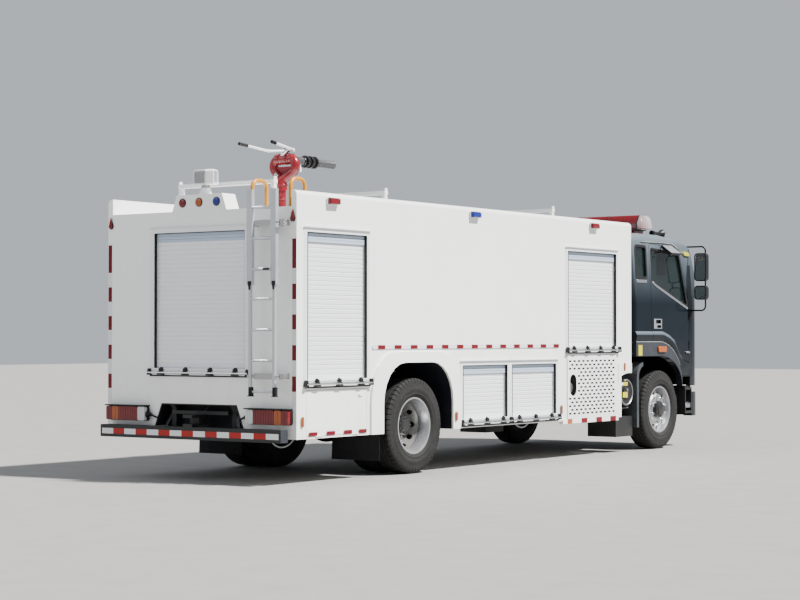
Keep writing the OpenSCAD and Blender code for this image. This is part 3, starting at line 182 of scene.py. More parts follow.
def tyre_rubber(name):
    """Weathered tyre: grey road dust worked evenly into black rubber."""
    n = Nodes(name)
    fine = n.noise(34.0, 8.0)
    amount = n.times(n.grey(fine, 0.15, 0.75), n.grey(n.noise(3.5, 5.0), 0.6, 1.0, 0.35, 0.65))
    n.set(Base_Color=n.mix(amount, (0.006, 0.0065, 0.007), (0.030, 0.029, 0.027)),
          Roughness=n.grey(fine, 0.70, 0.84), Specular_IOR_Level=0.22)
    n.bump(n.noise(260.0, 3.0), 0.3, 0.0005)
    return n.mat


def guard_plastic(name):
    """Grey moulded plastic in the front half, and black rubber behind, where the rear flaps hang."""
    n = Nodes(name)
    cloud = n.noise(5.0)
    grey = n.ramp(cloud, (0.030, 0.035, 0.040), (0.040, 0.046, 0.052))
    black = n.ramp(cloud, (0.005, 0.006, 0.008), (0.008, 0.009, 0.011))
    tone = n.mix(n.grey(n.along("X"), 0.0, 1.0, -0.01, 0.01), black, grey)
    n.set(Base_Color=n.mix(n.grey(n.noise(14.0, 7.0), 0.0, 0.12, 0.45, 0.8), tone, (0.20, 0.18, 0.15)),
          Roughness=n.grey(cloud, 0.5, 0.62), Specular_IOR_Level=0.25)
    n.bump(n.noise(300.0, 2.0), 0.25, 0.0005)
    return n.mat


def metal(name, colour, rough=0.35, stretch=(3.0, 3.0, 90.0), metallic=1.0, vary=0.85, bump=0.12):
    """Bare or anodised metal with a rolled grain along one direction."""
    n = Nodes(name)
    grain = n.noise(14.0, 6.0, stretch)
    cloud = n.ramp(n.noise(3.0), scaled(colour, vary), colour)
    n.set(Base_Color=n.mix(n.grey(grain, 0.0, 0.6), cloud, scaled(colour, 0.8)),
          Roughness=n.grey(grain, rough * 0.8, rough * 1.25), Metallic=metallic)
    n.bump(grain, bump, 0.0006)
    return n.mat


def plastic(name, colour, rough=0.5, grain=420.0, bump=0.25, dust=0.12):
    """Moulded plastic or rubber with a fine grain."""
    n = Nodes(name)
    cloud = n.noise(5.0)
    tone = n.ramp(cloud, scaled(colour, 0.85), scaled(colour, 1.15))
    n.set(Base_Color=n.mix(n.grey(n.noise(14.0, 7.0), 0.0, dust, 0.45, 0.8), tone, (0.16, 0.155, 0.145)),
          Roughness=n.grey(cloud, rough * 0.9, rough * 1.1), Specular_IOR_Level=0.28)
    n.bump(n.noise(grain, 2.0), bump, 0.0005)
    return n.mat


def lens(name, colour, rough=0.12, ribs=95.0):
    """Coloured lamp plastic with moulded optic ribs under its surface."""
    n = Nodes(name)
    wave = n.add("ShaderNodeTexWave", {"Vector": n.obj, "Scale": ribs, "Distortion": 0.0}, wave_type="BANDS",
                 bands_direction="DIAGONAL").outputs["Fac"]
    n.set(Base_Color=n.ramp(wave, scaled(colour, 0.62), colour, 0.0, 1.0),
          Roughness=n.grey(n.noise(6.0), rough, rough * 1.8),
          Coat_Weight=0.5, Coat_Roughness=0.05, Specular_IOR_Level=0.3)
    n.bump(wave, 0.25, 0.001)
    return n.mat


def glass(name, colour, cover):
    """Tinted glass with a trace of dust. Its alpha lets light through."""
    n = Nodes(name)
    smear = n.noise(4.0, 6.0)
    n.set(Base_Color=n.ramp(smear, colour, scaled(colour, 1.3), 0.35, 0.75),
          Roughness=n.grey(smear, 0.02, 0.08), Alpha=cover, Specular_IOR_Level=0.6)
    return n.mat


def tape(name, colour):
    """Retroreflective tape: a honeycomb of small cells under a clear film."""
    n = Nodes(name)
    cells = n.add("ShaderNodeTexVoronoi", {"Vector": n.obj, "Scale": 160.0},
                  feature="DISTANCE_TO_EDGE").outputs[0]
    n.set(Base_Color=n.ramp(n.grey(cells, 0.0, 1.0, 0.0, 0.12), scaled(colour, 0.72), colour, 0.0, 1.0),
          Roughness=n.grey(n.noise(20.0), 0.30, 0.45),
          Coat_Weight=0.15, Coat_Roughness=0.15, Specular_IOR_Level=0.2)
    n.bump(cells, 0.1, 0.0005)
    return n.mat


def checker_plate(name, colour, scale=26.0):
    """Metal plate with a raised diamond tread."""
    n = Nodes(name)
    x, y = n.along("X"), n.along("Y")
    w = n.times(n.along("Z"), scale)
    near = []
    for op in ("ADD", "SUBTRACT"):
        across = n.math(op, n.times(n.math(op, x, y), scale), w)
        near.append(n.math("ABSOLUTE", n.math("SUBTRACT", n.math("FRACT", across), 0.5)))
    tread = n.times(n.math("LESS_THAN", near[0], 0.12), n.math("LESS_THAN", near[1], 0.38))
    n.set(Base_Color=n.mix(tread, scaled(colour, 0.8), colour), Metallic=0.9,
          Roughness=n.grey(n.noise(30.0), 0.3, 0.5))
    n.bump(tread, 0.6, 0.002)
    return n.mat


WHITE = paint("white_paint", (0.90, 0.91, 0.90), 0.26, 0.4, 0.30, 0.45, 1.25, 0.97)
ROOF_WHITE = paint("white_trim", (0.78, 0.79, 0.79), 0.35, 0.25, 0.18, 0.45, 1.4)
CAB = cab_paint("cab_paint")
CHASSIS = paint("chassis_paint", (0.0045, 0.005, 0.006), 0.5, 0.0, 0.025, 0.1, 1.3, 0.8)
PUMP = paint("pump_paint", (0.84, 0.86, 0.86), 0.42, 0.15, 0.2, 0.45, 1.3)
RED = paint("red_paint", (0.20, 0.003, 0.008), 0.28, 0.25, 0.0, 0.0, 0.1, 0.85)
YELLOW = paint("yellow_paint", (0.56, 0.225, 0.004), 0.34, 0.1, 0.0, 0.0, 0.1, 0.9)
BARREL = paint("barrel_paint", (0.010, 0.010, 0.011), 0.36, 0.15, 0.0, 0.0, 0.1, 0.8)
IRON = metal("engine_iron", (0.16, 0.16, 0.165), 0.6, (5, 5, 5), 0.6)
ALU = metal("aluminium", (0.56, 0.58, 0.61), 0.36, (2.0, 2.0, 80.0))
SLATS = metal("shutter_slats", (0.86, 0.88, 0.90), 0.46, (1.0, 1.0, 60.0), 0.18, 0.96, 0.05)
# Painted shade: a pale blue-grey for the band of slats under each shutter's lintel, standing for the lintel's
# shadow lit by the sky
LINTEL_SHADE = metal("header_slats", (0.46, 0.55, 0.68), 0.45, (1.0, 1.0, 60.0), 0.2, 0.96, 0.03)
RIM = metal("wheel_silver", (0.50, 0.51, 0.53), 0.32, (6, 6, 6), 0.8, 0.85, 0.05)
# Painted shade: a darker copy of the wheel silver for the rear discs, which sit in shadow
DISC_IN_SHADE = metal("wheel_disc", (0.30, 0.295, 0.28), 0.36, (6, 6, 6), 0.7, 0.80, 0.06)
LADDER = metal("ladder_aluminium", (0.58, 0.60, 0.63), 0.40, (2.0, 2.0, 80.0), 0.6)
CHROME = metal("bright_metal", (0.80, 0.81, 0.82), 0.12, (4, 4, 4), 1.0, 0.92, 0.02)
STEEL = metal("dull_steel", (0.36, 0.36, 0.36), 0.45, (8, 8, 8))
MIRROR = metal("mirror_glass", (0.86, 0.88, 0.89), 0.03, (1, 1, 1), 1.0, 0.98, 0.0)
GREY_BARREL = metal("monitor_tube", (0.085, 0.085, 0.092), 0.42, (60, 3, 3), 0.5)
BLACK = plastic("black_plastic", (0.005, 0.005, 0.006), 0.42, 420.0, 0.25, 0.05)
RUBBER = plastic("black_rubber", (0.005, 0.005, 0.007), 0.7, 260.0, 0.4, 0.06)
LINER = plastic("arch_liner", (0.0030, 0.0034, 0.0085), 0.6, 260.0, 0.3, 0.03)
DARK_GREY = plastic("fender_plastic", (0.024, 0.027, 0.033), 0.42, 300.0, 0.15, 0.04)
HANDLE = plastic("handle_plastic", (0.17, 0.185, 0.20), 0.4, 300.0, 0.1, 0.05)
CLOTH = plastic("seat_cloth", (0.035, 0.037, 0.042), 0.85, 900.0, 0.5, 0.1)
TYRE = tyre_rubber("tyre_rubber")
GUARD = guard_plastic("guard_plastic")
GLASS = glass("window_glass", (0.006, 0.012, 0.012), 0.66)
LAMP_GLASS = glass("lamp_glass", (0.30, 0.31, 0.32), 0.22)
DOME = glass("dome_glass", (0.60, 0.52, 0.53), 0.42)
CLEAR = lens("clear_lens", (0.72, 0.74, 0.75), 0.06)
WORK_LENS = lens("work_lens", (0.34, 0.35, 0.36), 0.08, 150.0)
LENS_RED = lens("red_lens", (0.17, 0.0014, 0.006))
LENS_AMBER = lens("amber_lens", (0.40, 0.085, 0.008))
LENS_BLUE = lens("blue_lens", (0.006, 0.018, 0.24))
LENS_WHITE = lens("white_lens", (0.74, 0.75, 0.76))
LENS_YELLOW = lens("yellow_reflector", (0.62, 0.55, 0.010))
TAPE_RED = tape("tape_red", (0.135, 0.0008, 0.0070))
BUMPER_RED = tape("bumper_red", (0.38, 0.016, 0.014))
TAPE_WHITE = tape("tape_white", (0.76, 0.77, 0.78))
PLATE = checker_plate("checker_plate", (0.50, 0.50, 0.49))

# The slot named for each material. make() looks it up, unless it is told another, but does not give it to the
# piece
SLOTS = {mat.name: slot for slot, mats in (
    ("white_body", (WHITE, ROOF_WHITE, TAPE_WHITE)), ("cab_paint", (CAB,)), ("pump_sheet", (PUMP,)),
    ("chassis_paint", (CHASSIS, IRON, LINER, DARK_GREY)), ("red_paint", (RED,)), ("yellow_paint", (YELLOW,)),
    ("barrel_black", (BARREL, GREY_BARREL)), ("aluminium", (ALU, LINTEL_SHADE, CHROME, STEEL, HANDLE, PLATE)),
    ("wheel_paint", (RIM, DISC_IN_SHADE)), ("black_plastic", (BLACK,)), ("black_rubber", (RUBBER,)),
    ("seat_fabric", (CLOTH,)), ("tyre_rubber", (TYRE,)), ("window_glass", (MIRROR,)),
    ("clear_lens", (LAMP_GLASS, DOME, CLEAR, WORK_LENS)),
    ("lamp_lens", (LENS_RED, LENS_AMBER, LENS_BLUE, LENS_WHITE, LENS_YELLOW, TAPE_RED, BUMPER_RED)),
) for mat in mats}


def dress_nodes():
    for material, names in (
            (CHASSIS, "frame_rails front_axle rear_axle leaf_springs tanks rear_bumper cab_steps "
             "knuckle_right knuckle_left"),
            (CAB, "front_bumper cab_shell door_right door_left"), (IRON, "engine_block"),
            (GUARD, "mudguards"),
            (WHITE, "body_rear body_arch body_middle body_front light_box flap_right flap_left"),
            (ROOF_WHITE, "roof_rack work_lamp_head"), (SLATS, "shutters"), (PUMP, "pump_panels"),
            (LADDER, "ladder_upper ladder_lower"), (LENS_RED, "lamps light_bar"), (YELLOW, "grab_rails"),
            (RED, "monitor_base monitor_fork"), (BARREL, "monitor_barrel"), (CLEAR, "head_lamps"),
            (GLASS, "cab_glass door_glass_right door_glass_left"),
            (BLACK, "dashboard mirrors kerb_mirror sun_visor grille seats"),
            (TYRE, "front_tyre_right front_tyre_left rear_tyres_right rear_tyres_left"),
            (RIM, "front_rim_right front_rim_left rear_rims_right rear_rims_left")):
        for name in names.split():
            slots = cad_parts[name].data.materials
            slots.clear()
            slots.append(material)


dress_nodes()


# Mesh helpers
def spun(centre, axis, radius, along, degrees):
    """The point at a radius and an angle round an axis through the centre, and a way along it."""
    t = math.radians(degrees)
    c, s = radius * math.cos(t), radius * math.sin(t)
    offset = {"x": (along, c, s), "y": (s, along, c), "z": (c, s, along)}[axis]
    return tuple(a + b for a, b in zip(centre, offset))


def mend(mesh, weld=0.0):
    """Points a mesh's faces outwards, and joins vertices closer than weld first."""
    bm = bmesh.new()
    bm.from_mesh(mesh)
    if weld:
        bmesh.ops.remove_doubles(bm, verts=bm.verts, dist=weld)
    bmesh.ops.recalc_face_normals(bm, faces=bm.faces)
    bm.to_mesh(mesh)
    bm.free()


class Shape:
    """Gathers solids into one mesh. A point's y is multiplied by side, so that one call serves both sides."""

    def __init__(self, side=1):
        self.verts, self.faces, self.side = [], [], side

    def add(self, verts, faces):
        n = len(self.verts)
        self.verts += [(v[0] + REAR, v[1] * self.side, v[2]) for v in verts]
        self.faces += [tuple(i + n for i in f[::self.side]) for f in faces]
        return self

    def block(self, corners):
        return self.add(corners,
                        ((0, 1, 3, 2), (4, 6, 7, 5), (0, 4, 5, 1), (2, 3, 7, 6), (0, 2, 6, 4), (1, 5, 7, 3)))

    def box(self, x0, x1, y0, y1, z0, z1):
        return self.block([(x, y, z) for x in (x0, x1) for y in (y0, y1) for z in (z0, z1)])

    def loft(self, rings):
        """Skins rings of equally many points, and closes both ends."""
        k, n = len(rings[0]), len(rings)
        faces = [(r * k + i, r * k + (i + 1) % k, (r + 1) * k + (i + 1) % k, (r + 1) * k + i)
                 for r in range(n - 1) for i in range(k)]
        return self.add([p for ring in rings for p in ring],
                        faces + [tuple(reversed(range(k))), tuple(range((n - 1) * k, n * k))])

    def hoop(self, rings):
        """Skins rings of equally many points, the last to the first too."""
        k, n = len(rings[0]), len(rings)
        return self.add([p for ring in rings for p in ring],
                        [(r * k + i, r * k + (i + 1) % k, (r + 1) % n * k + (i + 1) % k, (r + 1) % n * k + i)
                         for r in range(n) for i in range(k)])

    def prism(self, outline, axis, a, b):
        """An outline of (u, v) points drawn out along an axis: (y, z) for x, (x, z) for y."""
        return self.loft([[(w, u, v) if axis == "x" else (u, w, v) for u, v in outline] for w in (a, b)])

    def tube(self, path, r, n=12, r2=None):
        """A round tube along a path of points. r2 is the radius at its far end."""
        pts = [Vector(p) for p in path]
        last = len(pts) - 1
        rings = []
        u = None
        for i, c in enumerate(pts):
            d = (pts[min(i + 1, last)] - pts[max(i - 1, 0)]).normalized()
            u = d.orthogonal().normalized() if u is None else (u - d * u.dot(d)).normalized()
            w = d.cross(u)
            radius = r2 if i == last and r2 is not None else r
            turns = [2 * math.pi * k / n for k in range(n)]
            rings.append([tuple(c + radius * (u * math.cos(t) + w * math.sin(t))) for t in turns])
        return self.loft(rings)

    def rod(self, p, q, r, r2=None, n=16):
        return self.tube((p, q), r, n, r2)

    def studs(self, centre, axis, ring, count, start, *levels):
        """Rods on a circle round an axis. A level gives each rod's ends, radius and number of sides."""
        for k in range(count):
            for a, b, r, n in levels:
                self.rod(*[spun(centre, axis, ring, w, start + 360.0 * k / count) for w in (a, b)], r, n=n)
        return self

    def lathe(self, centre, axis, profile, n=48):
        """Turns a closed profile of (radius, along) points about an axis through the centre."""
        return self.hoop([[spun(centre, axis, r, w, 360.0 * i / n) for r, w in profile] for i in range(n)])

    def edging(self, at, outer, inner, depths):
        """A closed band between two outlines. at() places a point of either at a depth."""
        pairs = zip((outer, outer, inner, inner), depths)
        return self.hoop([[at(u, v, d) for u, v in outline] for outline, d in pairs])

    def make(self, name, material, bevel=0.0, segments=2, body="chassis", slot=None, node=None, smooth=True,
             angle=35.0):
        """Makes the piece. A * in a name stands for its side, and node is the one that it replaces."""
        word = "right" if self.side < 0 else "left"
        name = name.replace("*", word)
        mesh = bpy.data.meshes.new(name)
        mesh.from_pydata(self.verts, [], self.faces)
        mend(mesh)
        mesh.materials.append(material)
        obj = bpy.data.objects.new(name, mesh)
        bpy.context.scene.collection.objects.link(obj)
        if bevel:
            mod = obj.modifiers.new("bevel", "BEVEL")
            mod.width = bevel
            mod.segments = segments
            mod.limit_method = "ANGLE"
            mod.angle_limit = math.radians(angle)
            mod.use_clamp_overlap = True
        if smooth:
            for poly in mesh.polygons:
                poly.use_smooth = True
            mesh.set_sharp_from_angle(angle=math.radians(angle))
        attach(obj, body.replace("*", word))
        slot or SLOTS[material.name]
        if node:
            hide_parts(node.replace("*", word))
        return obj


def arc(cx, cy, rx, ry, a0, a1, n):
    turns = [math.radians(a0 + (a1 - a0) * i / n) for i in range(n + 1)]
    return [(cx + rx * math.cos(t), cy + ry * math.sin(t)) for t in turns]


def round_rect(x0, x1, y0, y1, r):
    corners = ((x1 - r, y1 - r, 0), (x0 + r, y1 - r, 90), (x0 + r, y0 + r, 180), (x1 - r, y0 + r, 270))
    return [p for x, y, turn in corners for p in arc(x, y, r, r, turn, turn + 90, 4)]


# Reflective tape
TAPE_T = 0.0012


def tape_pieces():
    skin = (BODY_HW, BODY_HW + TAPE_T)
    for side in SIDES:
        red, white = Shape(side), Shape(side)
        for i in range(13):
            c = 1.387 + 0.291 * i
            red.box(c - 0.065, c + 0.065, *skin, 1.317, 1.358)
            white.box(c - (0.226 if i else 0.155), c - 0.065, *skin, 1.318, 1.357)
        for a, b in ((5.469, 5.607), (5.824, 5.965), (6.171, 6.316)):
            red.box(a, b, *skin, 0.4125, 0.4695)
        low = 0.762
        for a, b in ((0.912, 1.061), (1.214, 1.363), (1.514, 1.660), (1.807, 1.958), (2.107, 2.395)):
            red.box(-TAPE_T, 0, 1.196, 1.246, a, b)
            white.box(-TAPE_T, 0, 1.196, 1.246, low, a)
            low = b
        red.make("tape_red_*", TAPE_RED, smooth=False)
        white.make("tape_white_*", TAPE_WHITE, smooth=False)
        flap = Shape(side)
        for a, b in ((0.185, 0.319), (0.47, 0.604), (0.75, 0.884), (1.0, 1.13)):
            flap.box(a, b, *skin, 0.477, 0.513)
        flap.make("flap_tape_*", TAPE_RED, body="flap_*", smooth=False)
        Shape(side).box(5.14, 5.25, *skin, 0.4125, 0.4695).make("tape_orange_*", LENS_AMBER, smooth=False)
    red, white = Shape(), Shape()
    step = 2.33 / 15
    for i in range(15):
        y = i * step - 1.165
        (red if i % 2 else white).box(BEAM_X - TAPE_T, BEAM_X, y, y + step, 0.452, 0.508)
    red.make("bumper_tape_red", BUMPER_RED, smooth=False)
    white.make("bumper_tape_white", TAPE_WHITE, smooth=False)


tape_pieces()


# Lamps that stand for the plain ones
def tail_lamps():
    z0, z1 = 0.585, 0.735
    for side in SIDES:
        back = Shape(side).prism(round_rect(0.662, 1.208, z0, z1, 0.022), "x", -0.036, 0.0)
        back.box(-0.092, 0.0, 0.655, 1.212, z1, z1 + 0.012)
        back.rod((-0.03, 0.664, 0.655), (-0.03, 0.618, 0.650), 0.038, 0.014)
        back.make("tail_lamp_case_*", BLACK, 0.004, node="lamps")
        for kind, a, b, mat in (("white", 0.668, 0.763, LENS_WHITE), ("red", 0.766, 1.027, LENS_RED),
                                ("amber", 1.030, 1.119, LENS_AMBER), ("end", 1.122, 1.203, LENS_RED)):
            part = Shape(side).prism(round_rect(a, b, z0 + 0.005, z1 - 0.004, 0.016), "x", -0.076, -0.03)
            count = int((b - a) / 0.03)
            for k in range(1, count):
                y = a + (b - a) * k / count
                part.box(-0.079, -0.074, y - 0.0015, y + 0.0015, z0 + 0.012, z1 - 0.012)
            part.make("tail_lamp_%s_*" % kind, mat, 0.006, 3, node="lamps")
        conduit = Shape(side).tube([(-0.03, 0.622, 0.650), (-0.03, 0.60, 0.645), (-0.022, 0.57, 0.632),
                                    (-0.012, 0.545, 0.622), (0.03, 0.53, 0.615)], 0.009)
        conduit.make("tail_lamp_conduit_*", RUBBER, node="lamps")


def round_lamps():
    rim = [(0.040, 0.0), (0.046, 0.0), (0.046, -0.006), (0.0435, -0.009), (0.040, -0.009)]
    dome = [(0.0, 0.0), (0.0415, 0.0), (0.041, -0.007), (0.036, -0.0115), (0.022, -0.0135), (0.0, -0.014)]
    for y, mat, word in ((0.220, LENS_RED, "red"), (0.0, LENS_AMBER, "amber"), (-0.230, LENS_BLUE, "blue")):
        for part, profile, look in (("rim", rim, BLACK), ("lens", dome, mat)):
            shape = Shape().lathe((0, y, 2.795), "x", profile, 40)
            shape.make("round_lamp_%s_%s" % (part, word), look, node="lamps")


def corner_lamps():
    """Teardrops, point up, at the rear wall's top corners."""
    for side in SIDES:
        for part, grow, x0, x1, mat, bevel, segments in (("rim", 0.0, -0.010, 0.0, BLACK, 0.002, 2),
                                                         ("lens", -0.005, -0.018, -0.009, LENS_RED, 0.005,
                                                          3)):
            y, z, r = 1.205, 2.59, 0.032 + grow
            top = [(y + 0.006, z + 0.082 + grow), (y, z + 0.091 + grow), (y - 0.006, z + 0.082 + grow)]
            drop = Shape(side).prism(arc(y, z, r, r, 155, 385, 14) + top, "x", x0, x1)
            drop.make("corner_lamp_%s_*" % part, mat, bevel, segments, node="lamps")


def side_lamps():
    y = BODY_HW
    for side in SIDES:
        for k, (c, mat) in enumerate(((0.56, LENS_RED), (3.13, LENS_BLUE), (5.77, LENS_RED))):
            base = Shape(side).prism(round_rect(c - 0.095, c + 0.095, 2.750, 2.820, 0.008), "y", y, y + 0.012)
            base.box(c - 0.090, c + 0.090, y, y + 0.044, 2.813, 2.820)
            base.make("side_lamp_base_*_%d" % k, ROOF_WHITE, 0.002, node="lamps")
            cover = Shape(side)
            cover.loft([[(c + sx * w, y + d, 2.7815 + sz * h)
                         for sx, sz in ((-1, -1), (1, -1), (1, 1), (-1, 1))]
                        for d, w, h in ((0.010, 0.088, 0.0295), (0.036, 0.085, 0.028),
                                        (0.044, 0.078, 0.022))])
            cover.make("side_lamp_lens_*_%d" % k, mat, 0.004, 3, node="lamps")
        rims, marks = Shape(side), Shape(side)
        for x, z, out in ((0.083, 0.618, 0.0), (5.0, 0.587, 0.0), (6.537, 1.071, 0.0), (2.735, 0.587, 0.025)):
            for shape, w, h, r, thick in ((rims, 0.021, 0.052, 0.019, 0.004),
                                          (marks, 0.016, 0.047, 0.015, 0.012)):
                shape.prism(round_rect(x - w, x + w, z - h, z + h, r), "y", y + out, y + out + thick)
        rims.make("marker_rims_*", STEEL, node="lamps")
        marks.make("marker_lenses_*", LENS_AMBER, 0.003, node="lamps")


tail_lamps()
round_lamps()
corner_lamps()
side_lamps()


# Shutter trim: seals in the jambs, a drip edge, and the bar and latches at the foot
SIDE_UNITS = ((0.113, 1.190, 0.940, 2.518, 3), (2.855, 3.862, 0.460, 1.182, 3),
              (3.862, 4.930, 0.460, 1.182, 3), (5.114, 6.385, 1.240, 2.513, 4))
REAR_UNIT = (-0.655, 0.655, 1.040, 2.550, 4)


class Panel(Shape):
    """Drawn in a shutter's plane: along its length, up, and out from the body's skin. Side 0 is the rear."""

    def __init__(self, side):
        super().__init__(side or 1)
        self.rear = not side

    def at(self, u, z, d):
        return (-d, u, z) if self.rear else (u, BODY_HW + d, z)

    def slab(self, u0, u1, z0, z1, d0, d1):
        return self.block([self.at(u, z, d) for u in (u0, u1) for d in (d0, d1) for z in (z0, z1)])

    def wedge(self, u, half, z0, z1):
        """A bracket that widens downwards."""
        self.loft([[self.at(u + s * w, z, d) for s, d in ((-1, 0.0), (1, 0.0), (1, 0.040), (-1, 0.040))]
                   for z, w in ((z0, half * 1.9), (z1, half * 0.8))])


def shutter_trim(unit, side, tag):
    u0, u1, z0, z1, latches = unit
    left, right, top = u0 + 0.052, u1 - 0.052, z1 - 0.052
    seal = Panel(side)
    for a, b in ((left - 0.002, left + 0.006), (right - 0.006, right + 0.002)):
        seal.slab(a, b, z0 + 0.085, top, -0.033, -0.001)
    seal.slab(left, right, top - 0.004, top + 0.002, -0.033, -0.001)
    seal.slab(u0 + 0.004, u1 - 0.004, z0 + 0.002, z0 + 0.014, 0.003, 0.014)
    seal.make("shutter_seal_" + tag, RUBBER)
    drip = Panel(side).slab(u0 - 0.012, u1 + 0.012, z1 - 0.001, z1 + 0.003, 0.0, 0.016)
    drip.make("shutter_drip_" + tag, ROOF_WHITE, slot="aluminium")
    # Painted shade: three slats in pale blue-grey stand for the shadow under the lintel
    shade_band = Panel(side)
    for k in range(3):
        z = top - 0.006 - 0.030 * k
        shade_band.slab(left + 0.007, right - 0.007, z - 0.028, z, -0.0335, -0.0285)
    shade_band.make("shutter_header_" + tag, LINTEL_SHADE, 0.002)
    rail = Panel(side)
    rail.rod(rail.at(u0 - 0.004, z0 + 0.040, 0.034), rail.at(u1 + 0.004, z0 + 0.040, 0.034), 0.009, n=12)
    rail.slab(u0 + 0.030, u1 - 0.030, z0 + 0.062, z0 + 0.070, 0.012, 0.016)
    rail.make("shutter_bar_" + tag, CHROME)
    lock = Panel(side)
    for i in range(latches):
        u = u0 + (u1 - u0) * (i + 0.5) / latches
        lock.wedge(u, 0.024, z0 + 0.018, z0 + 0.058)
        lock.slab(u - 0.026, u + 0.026, z0 + 0.056, z0 + 0.086, 0.010, 0.030)
        lock.slab(u - 0.018, u + 0.018, z0 + 0.086, z0 + 0.098, 0.006, 0.020)
    for u in (u0 + 0.004, u1 - 0.004):
        lock.wedge(u, 0.012, z0 + 0.016, z0 + 0.082)
    lock.make("shutter_latches_" + tag, BLACK, 0.003)


for side in SIDES:
    for k, unit in enumerate(SIDE_UNITS):
        shutter_trim(unit, side, "*_%d" % k)
shutter_trim(REAR_UNIT, 0, "rear")


# Rear end
def rear_end():
    cap, bolts = Shape(), Shape()
    for s in SIDES:
        cap.box(BEAM_X + 0.004, BEAM_X + 0.112, s * 1.186, s * 1.192, 0.421, 0.544)
        for y in (0.385, 0.415):
            for z in (0.47, 0.50):
                bolts.rod((BEAM_X + 0.111, s * y, z), (BEAM_X + 0.119, s * y, z), 0.011, n=6)
    cap.make("bumper_ends", DARK_GREY, 0.003)
    well = Shape()
    mouth = [(-0.588, 0.541), (0.588, 0.541), (0.499, 0.769), (-0.499, 0.769)]
    inner = [(-0.572, 0.541), (0.572, 0.541), (0.487, 0.757), (-0.487, 0.757)]
    for i, j in ((3, 2), (0, 3), (1, 2)):
        well.prism([mouth[i], mouth[j], inner[j], inner[i]], "x", -0.004, 0.19)
    well.make("rear_well", CHASSIS, 0.002)
    back = Shape().loft([[(x + d, y, z) for y, z, x in ((-0.571, 0.500, 0.144), (0.571, 0.500, 0.144),
                                                        (0.488, 0.756, 0.176), (-0.488, 0.756, 0.176))]
                         for d in (0.0, 0.004)])
    for i in range(5):
        z = 0.575 + 0.036 * i
        x = 0.150 + (z - 0.548) / 8.0
        back.box(x - 0.006, x, 0.02, 0.40, z, z + 0.010)
    back.make("rear_well_back", LINER)
    brace = Shape()
    for p, q, dx, dy in (((0.05, -0.50, 0.545), (0.12, -0.41, 0.750), 0.008, 0.04),
                         ((0.05, 0.50, 0.545), (0.12, 0.41, 0.750), 0.008, -0.04),
                         ((0.03, 0.10, 0.548), (0.10, -0.03, 0.752), 0.010, -0.03)):
        brace.loft([[(x, y, z), (x, y + dy, z), (x + dx, y + dy, z), (x + dx, y, z)] for x, y, z in (p, q)])
    brace.make("rear_braces", CHASSIS, 0.002)
    bolts.make("bumper_bolts", STEEL, smooth=False)


rear_end()


# Ladder fittings
LADDER_Y = 0.330 - BODY_HW


def rung_ribs(name, body, x, low, rungs, step, r0, r1):
    ribs = Shape()
    profile = [(r0, -0.003), (r1, -0.0015), (r1, 0.0015), (r0, 0.003)]
    for i in range(rungs):
        for k in range(-9, 10):
            ribs.lathe((x, LADDER_Y + k * step, low + 0.300 * i), "y", profile, 16)
    ribs.make(name, ALU, body=body, smooth=False)


def ladder_fittings():
    y = LADDER_Y
    plates = Shape()
    for z in (2.55, 1.06):
        for x0, x1, y0, y1, half in ((-0.106, -0.0995, -0.125, 0.125, 0.030),
                                     (-0.150, -0.144, -0.285, -0.225, 0.028),
                                     (-0.150, 0.0, -0.232, -0.225, 0.028),
                                     (-0.150, -0.1445, -0.235, -0.175, 0.010)):
            plates.box(x0, x1, y + y0, y + y1, z - half, z + half)
    plates.make("ladder_brackets", PLATE, 0.001)
    rung_ribs("ladder_rung_ribs", "chassis", -0.122, 2.100, 3, 0.0115, 0.0140, 0.0163)
    rung_ribs("ladder_lower_ribs", "ladder_slide", -0.1185, 0.910, 4, 0.0125, 0.0115, 0.0133)
    feet, hooks = Shape(), Shape()
    for c in (y - 0.150, y + 0.150):
        feet.loft([[(dx - 0.1345, c + sy * (0.022 + grow), z)
                    for dx, sy in ((0, -1), (0.031, -1), (0.031, 1), (0, 1))]
                   for z, grow in ((0.866, 0.004), (0.874, 0.001), (0.955, 0.0))])
        feet.box(-0.148, -0.100, c - 0.026, c + 0.026, 0.862, 0.870)
        hooks.box(-0.156, -0.139, c - 0.016, c + 0.016, 1.945, 1.985)
        hooks.prism([(-0.158, 1.952), (-0.150, 1.900), (-0.140, 1.900), (-0.140, 1.952)], "y", c - 0.010,
                    c + 0.010)
    feet.make("ladder_feet", RUBBER, 0.002, body="ladder_slide")
    hooks.rod((-0.155, y - 0.10, 2.10), (-0.155, y - 0.03, 2.10), 0.010)
    hooks.make("ladder_hooks", BLACK, 0.002)


def rail_feet():
    feet = Shape()
    foot = [(0.0195, 0.0), (0.040, 0.0), (0.040, 0.006), (0.030, 0.008), (0.026, 0.014), (0.0195, 0.014)]
    for x0, y in ((0.020, LADDER_Y + 0.260), (0.050, LADDER_Y - 0.200)):
        for x in (x0 + 0.020, x0 + 0.240):
            feet.lathe((x, y, 2.710), "z", foot, 32)
            feet.studs((x, y, 0), "z", 0.033, 4, 45, (2.7155, 2.721, 0.005, 6))
    feet.make("grab_rail_feet", YELLOW)


ladder_fittings()
rail_feet()


# Light bar on the cab roof: clear ends, a red middle, and a red lower tier on a black seat
BAR_X = CAB_X1 - 1.095
BAR_Z = 2.842


def bar_section(kx, kz, y):
    half, bend, rise = 0.150 * kx, 0.03 * kx, 0.03 * kz
    top, z1, z2 = 0.085 * kx - bend, BAR_Z + 0.070 * kz, BAR_Z + 0.184 * kz - rise
    out = [(-half, BAR_Z + 0.004), (half, BAR_Z + 0.004), (half, z1)]
    out += arc(top, z2, bend, rise, 30, 90, 4) + arc(-top, z2, bend, rise, 90, 150, 4) + [(-half, z1)]
    return [(BAR_X + x, y, z) for x, z in out]


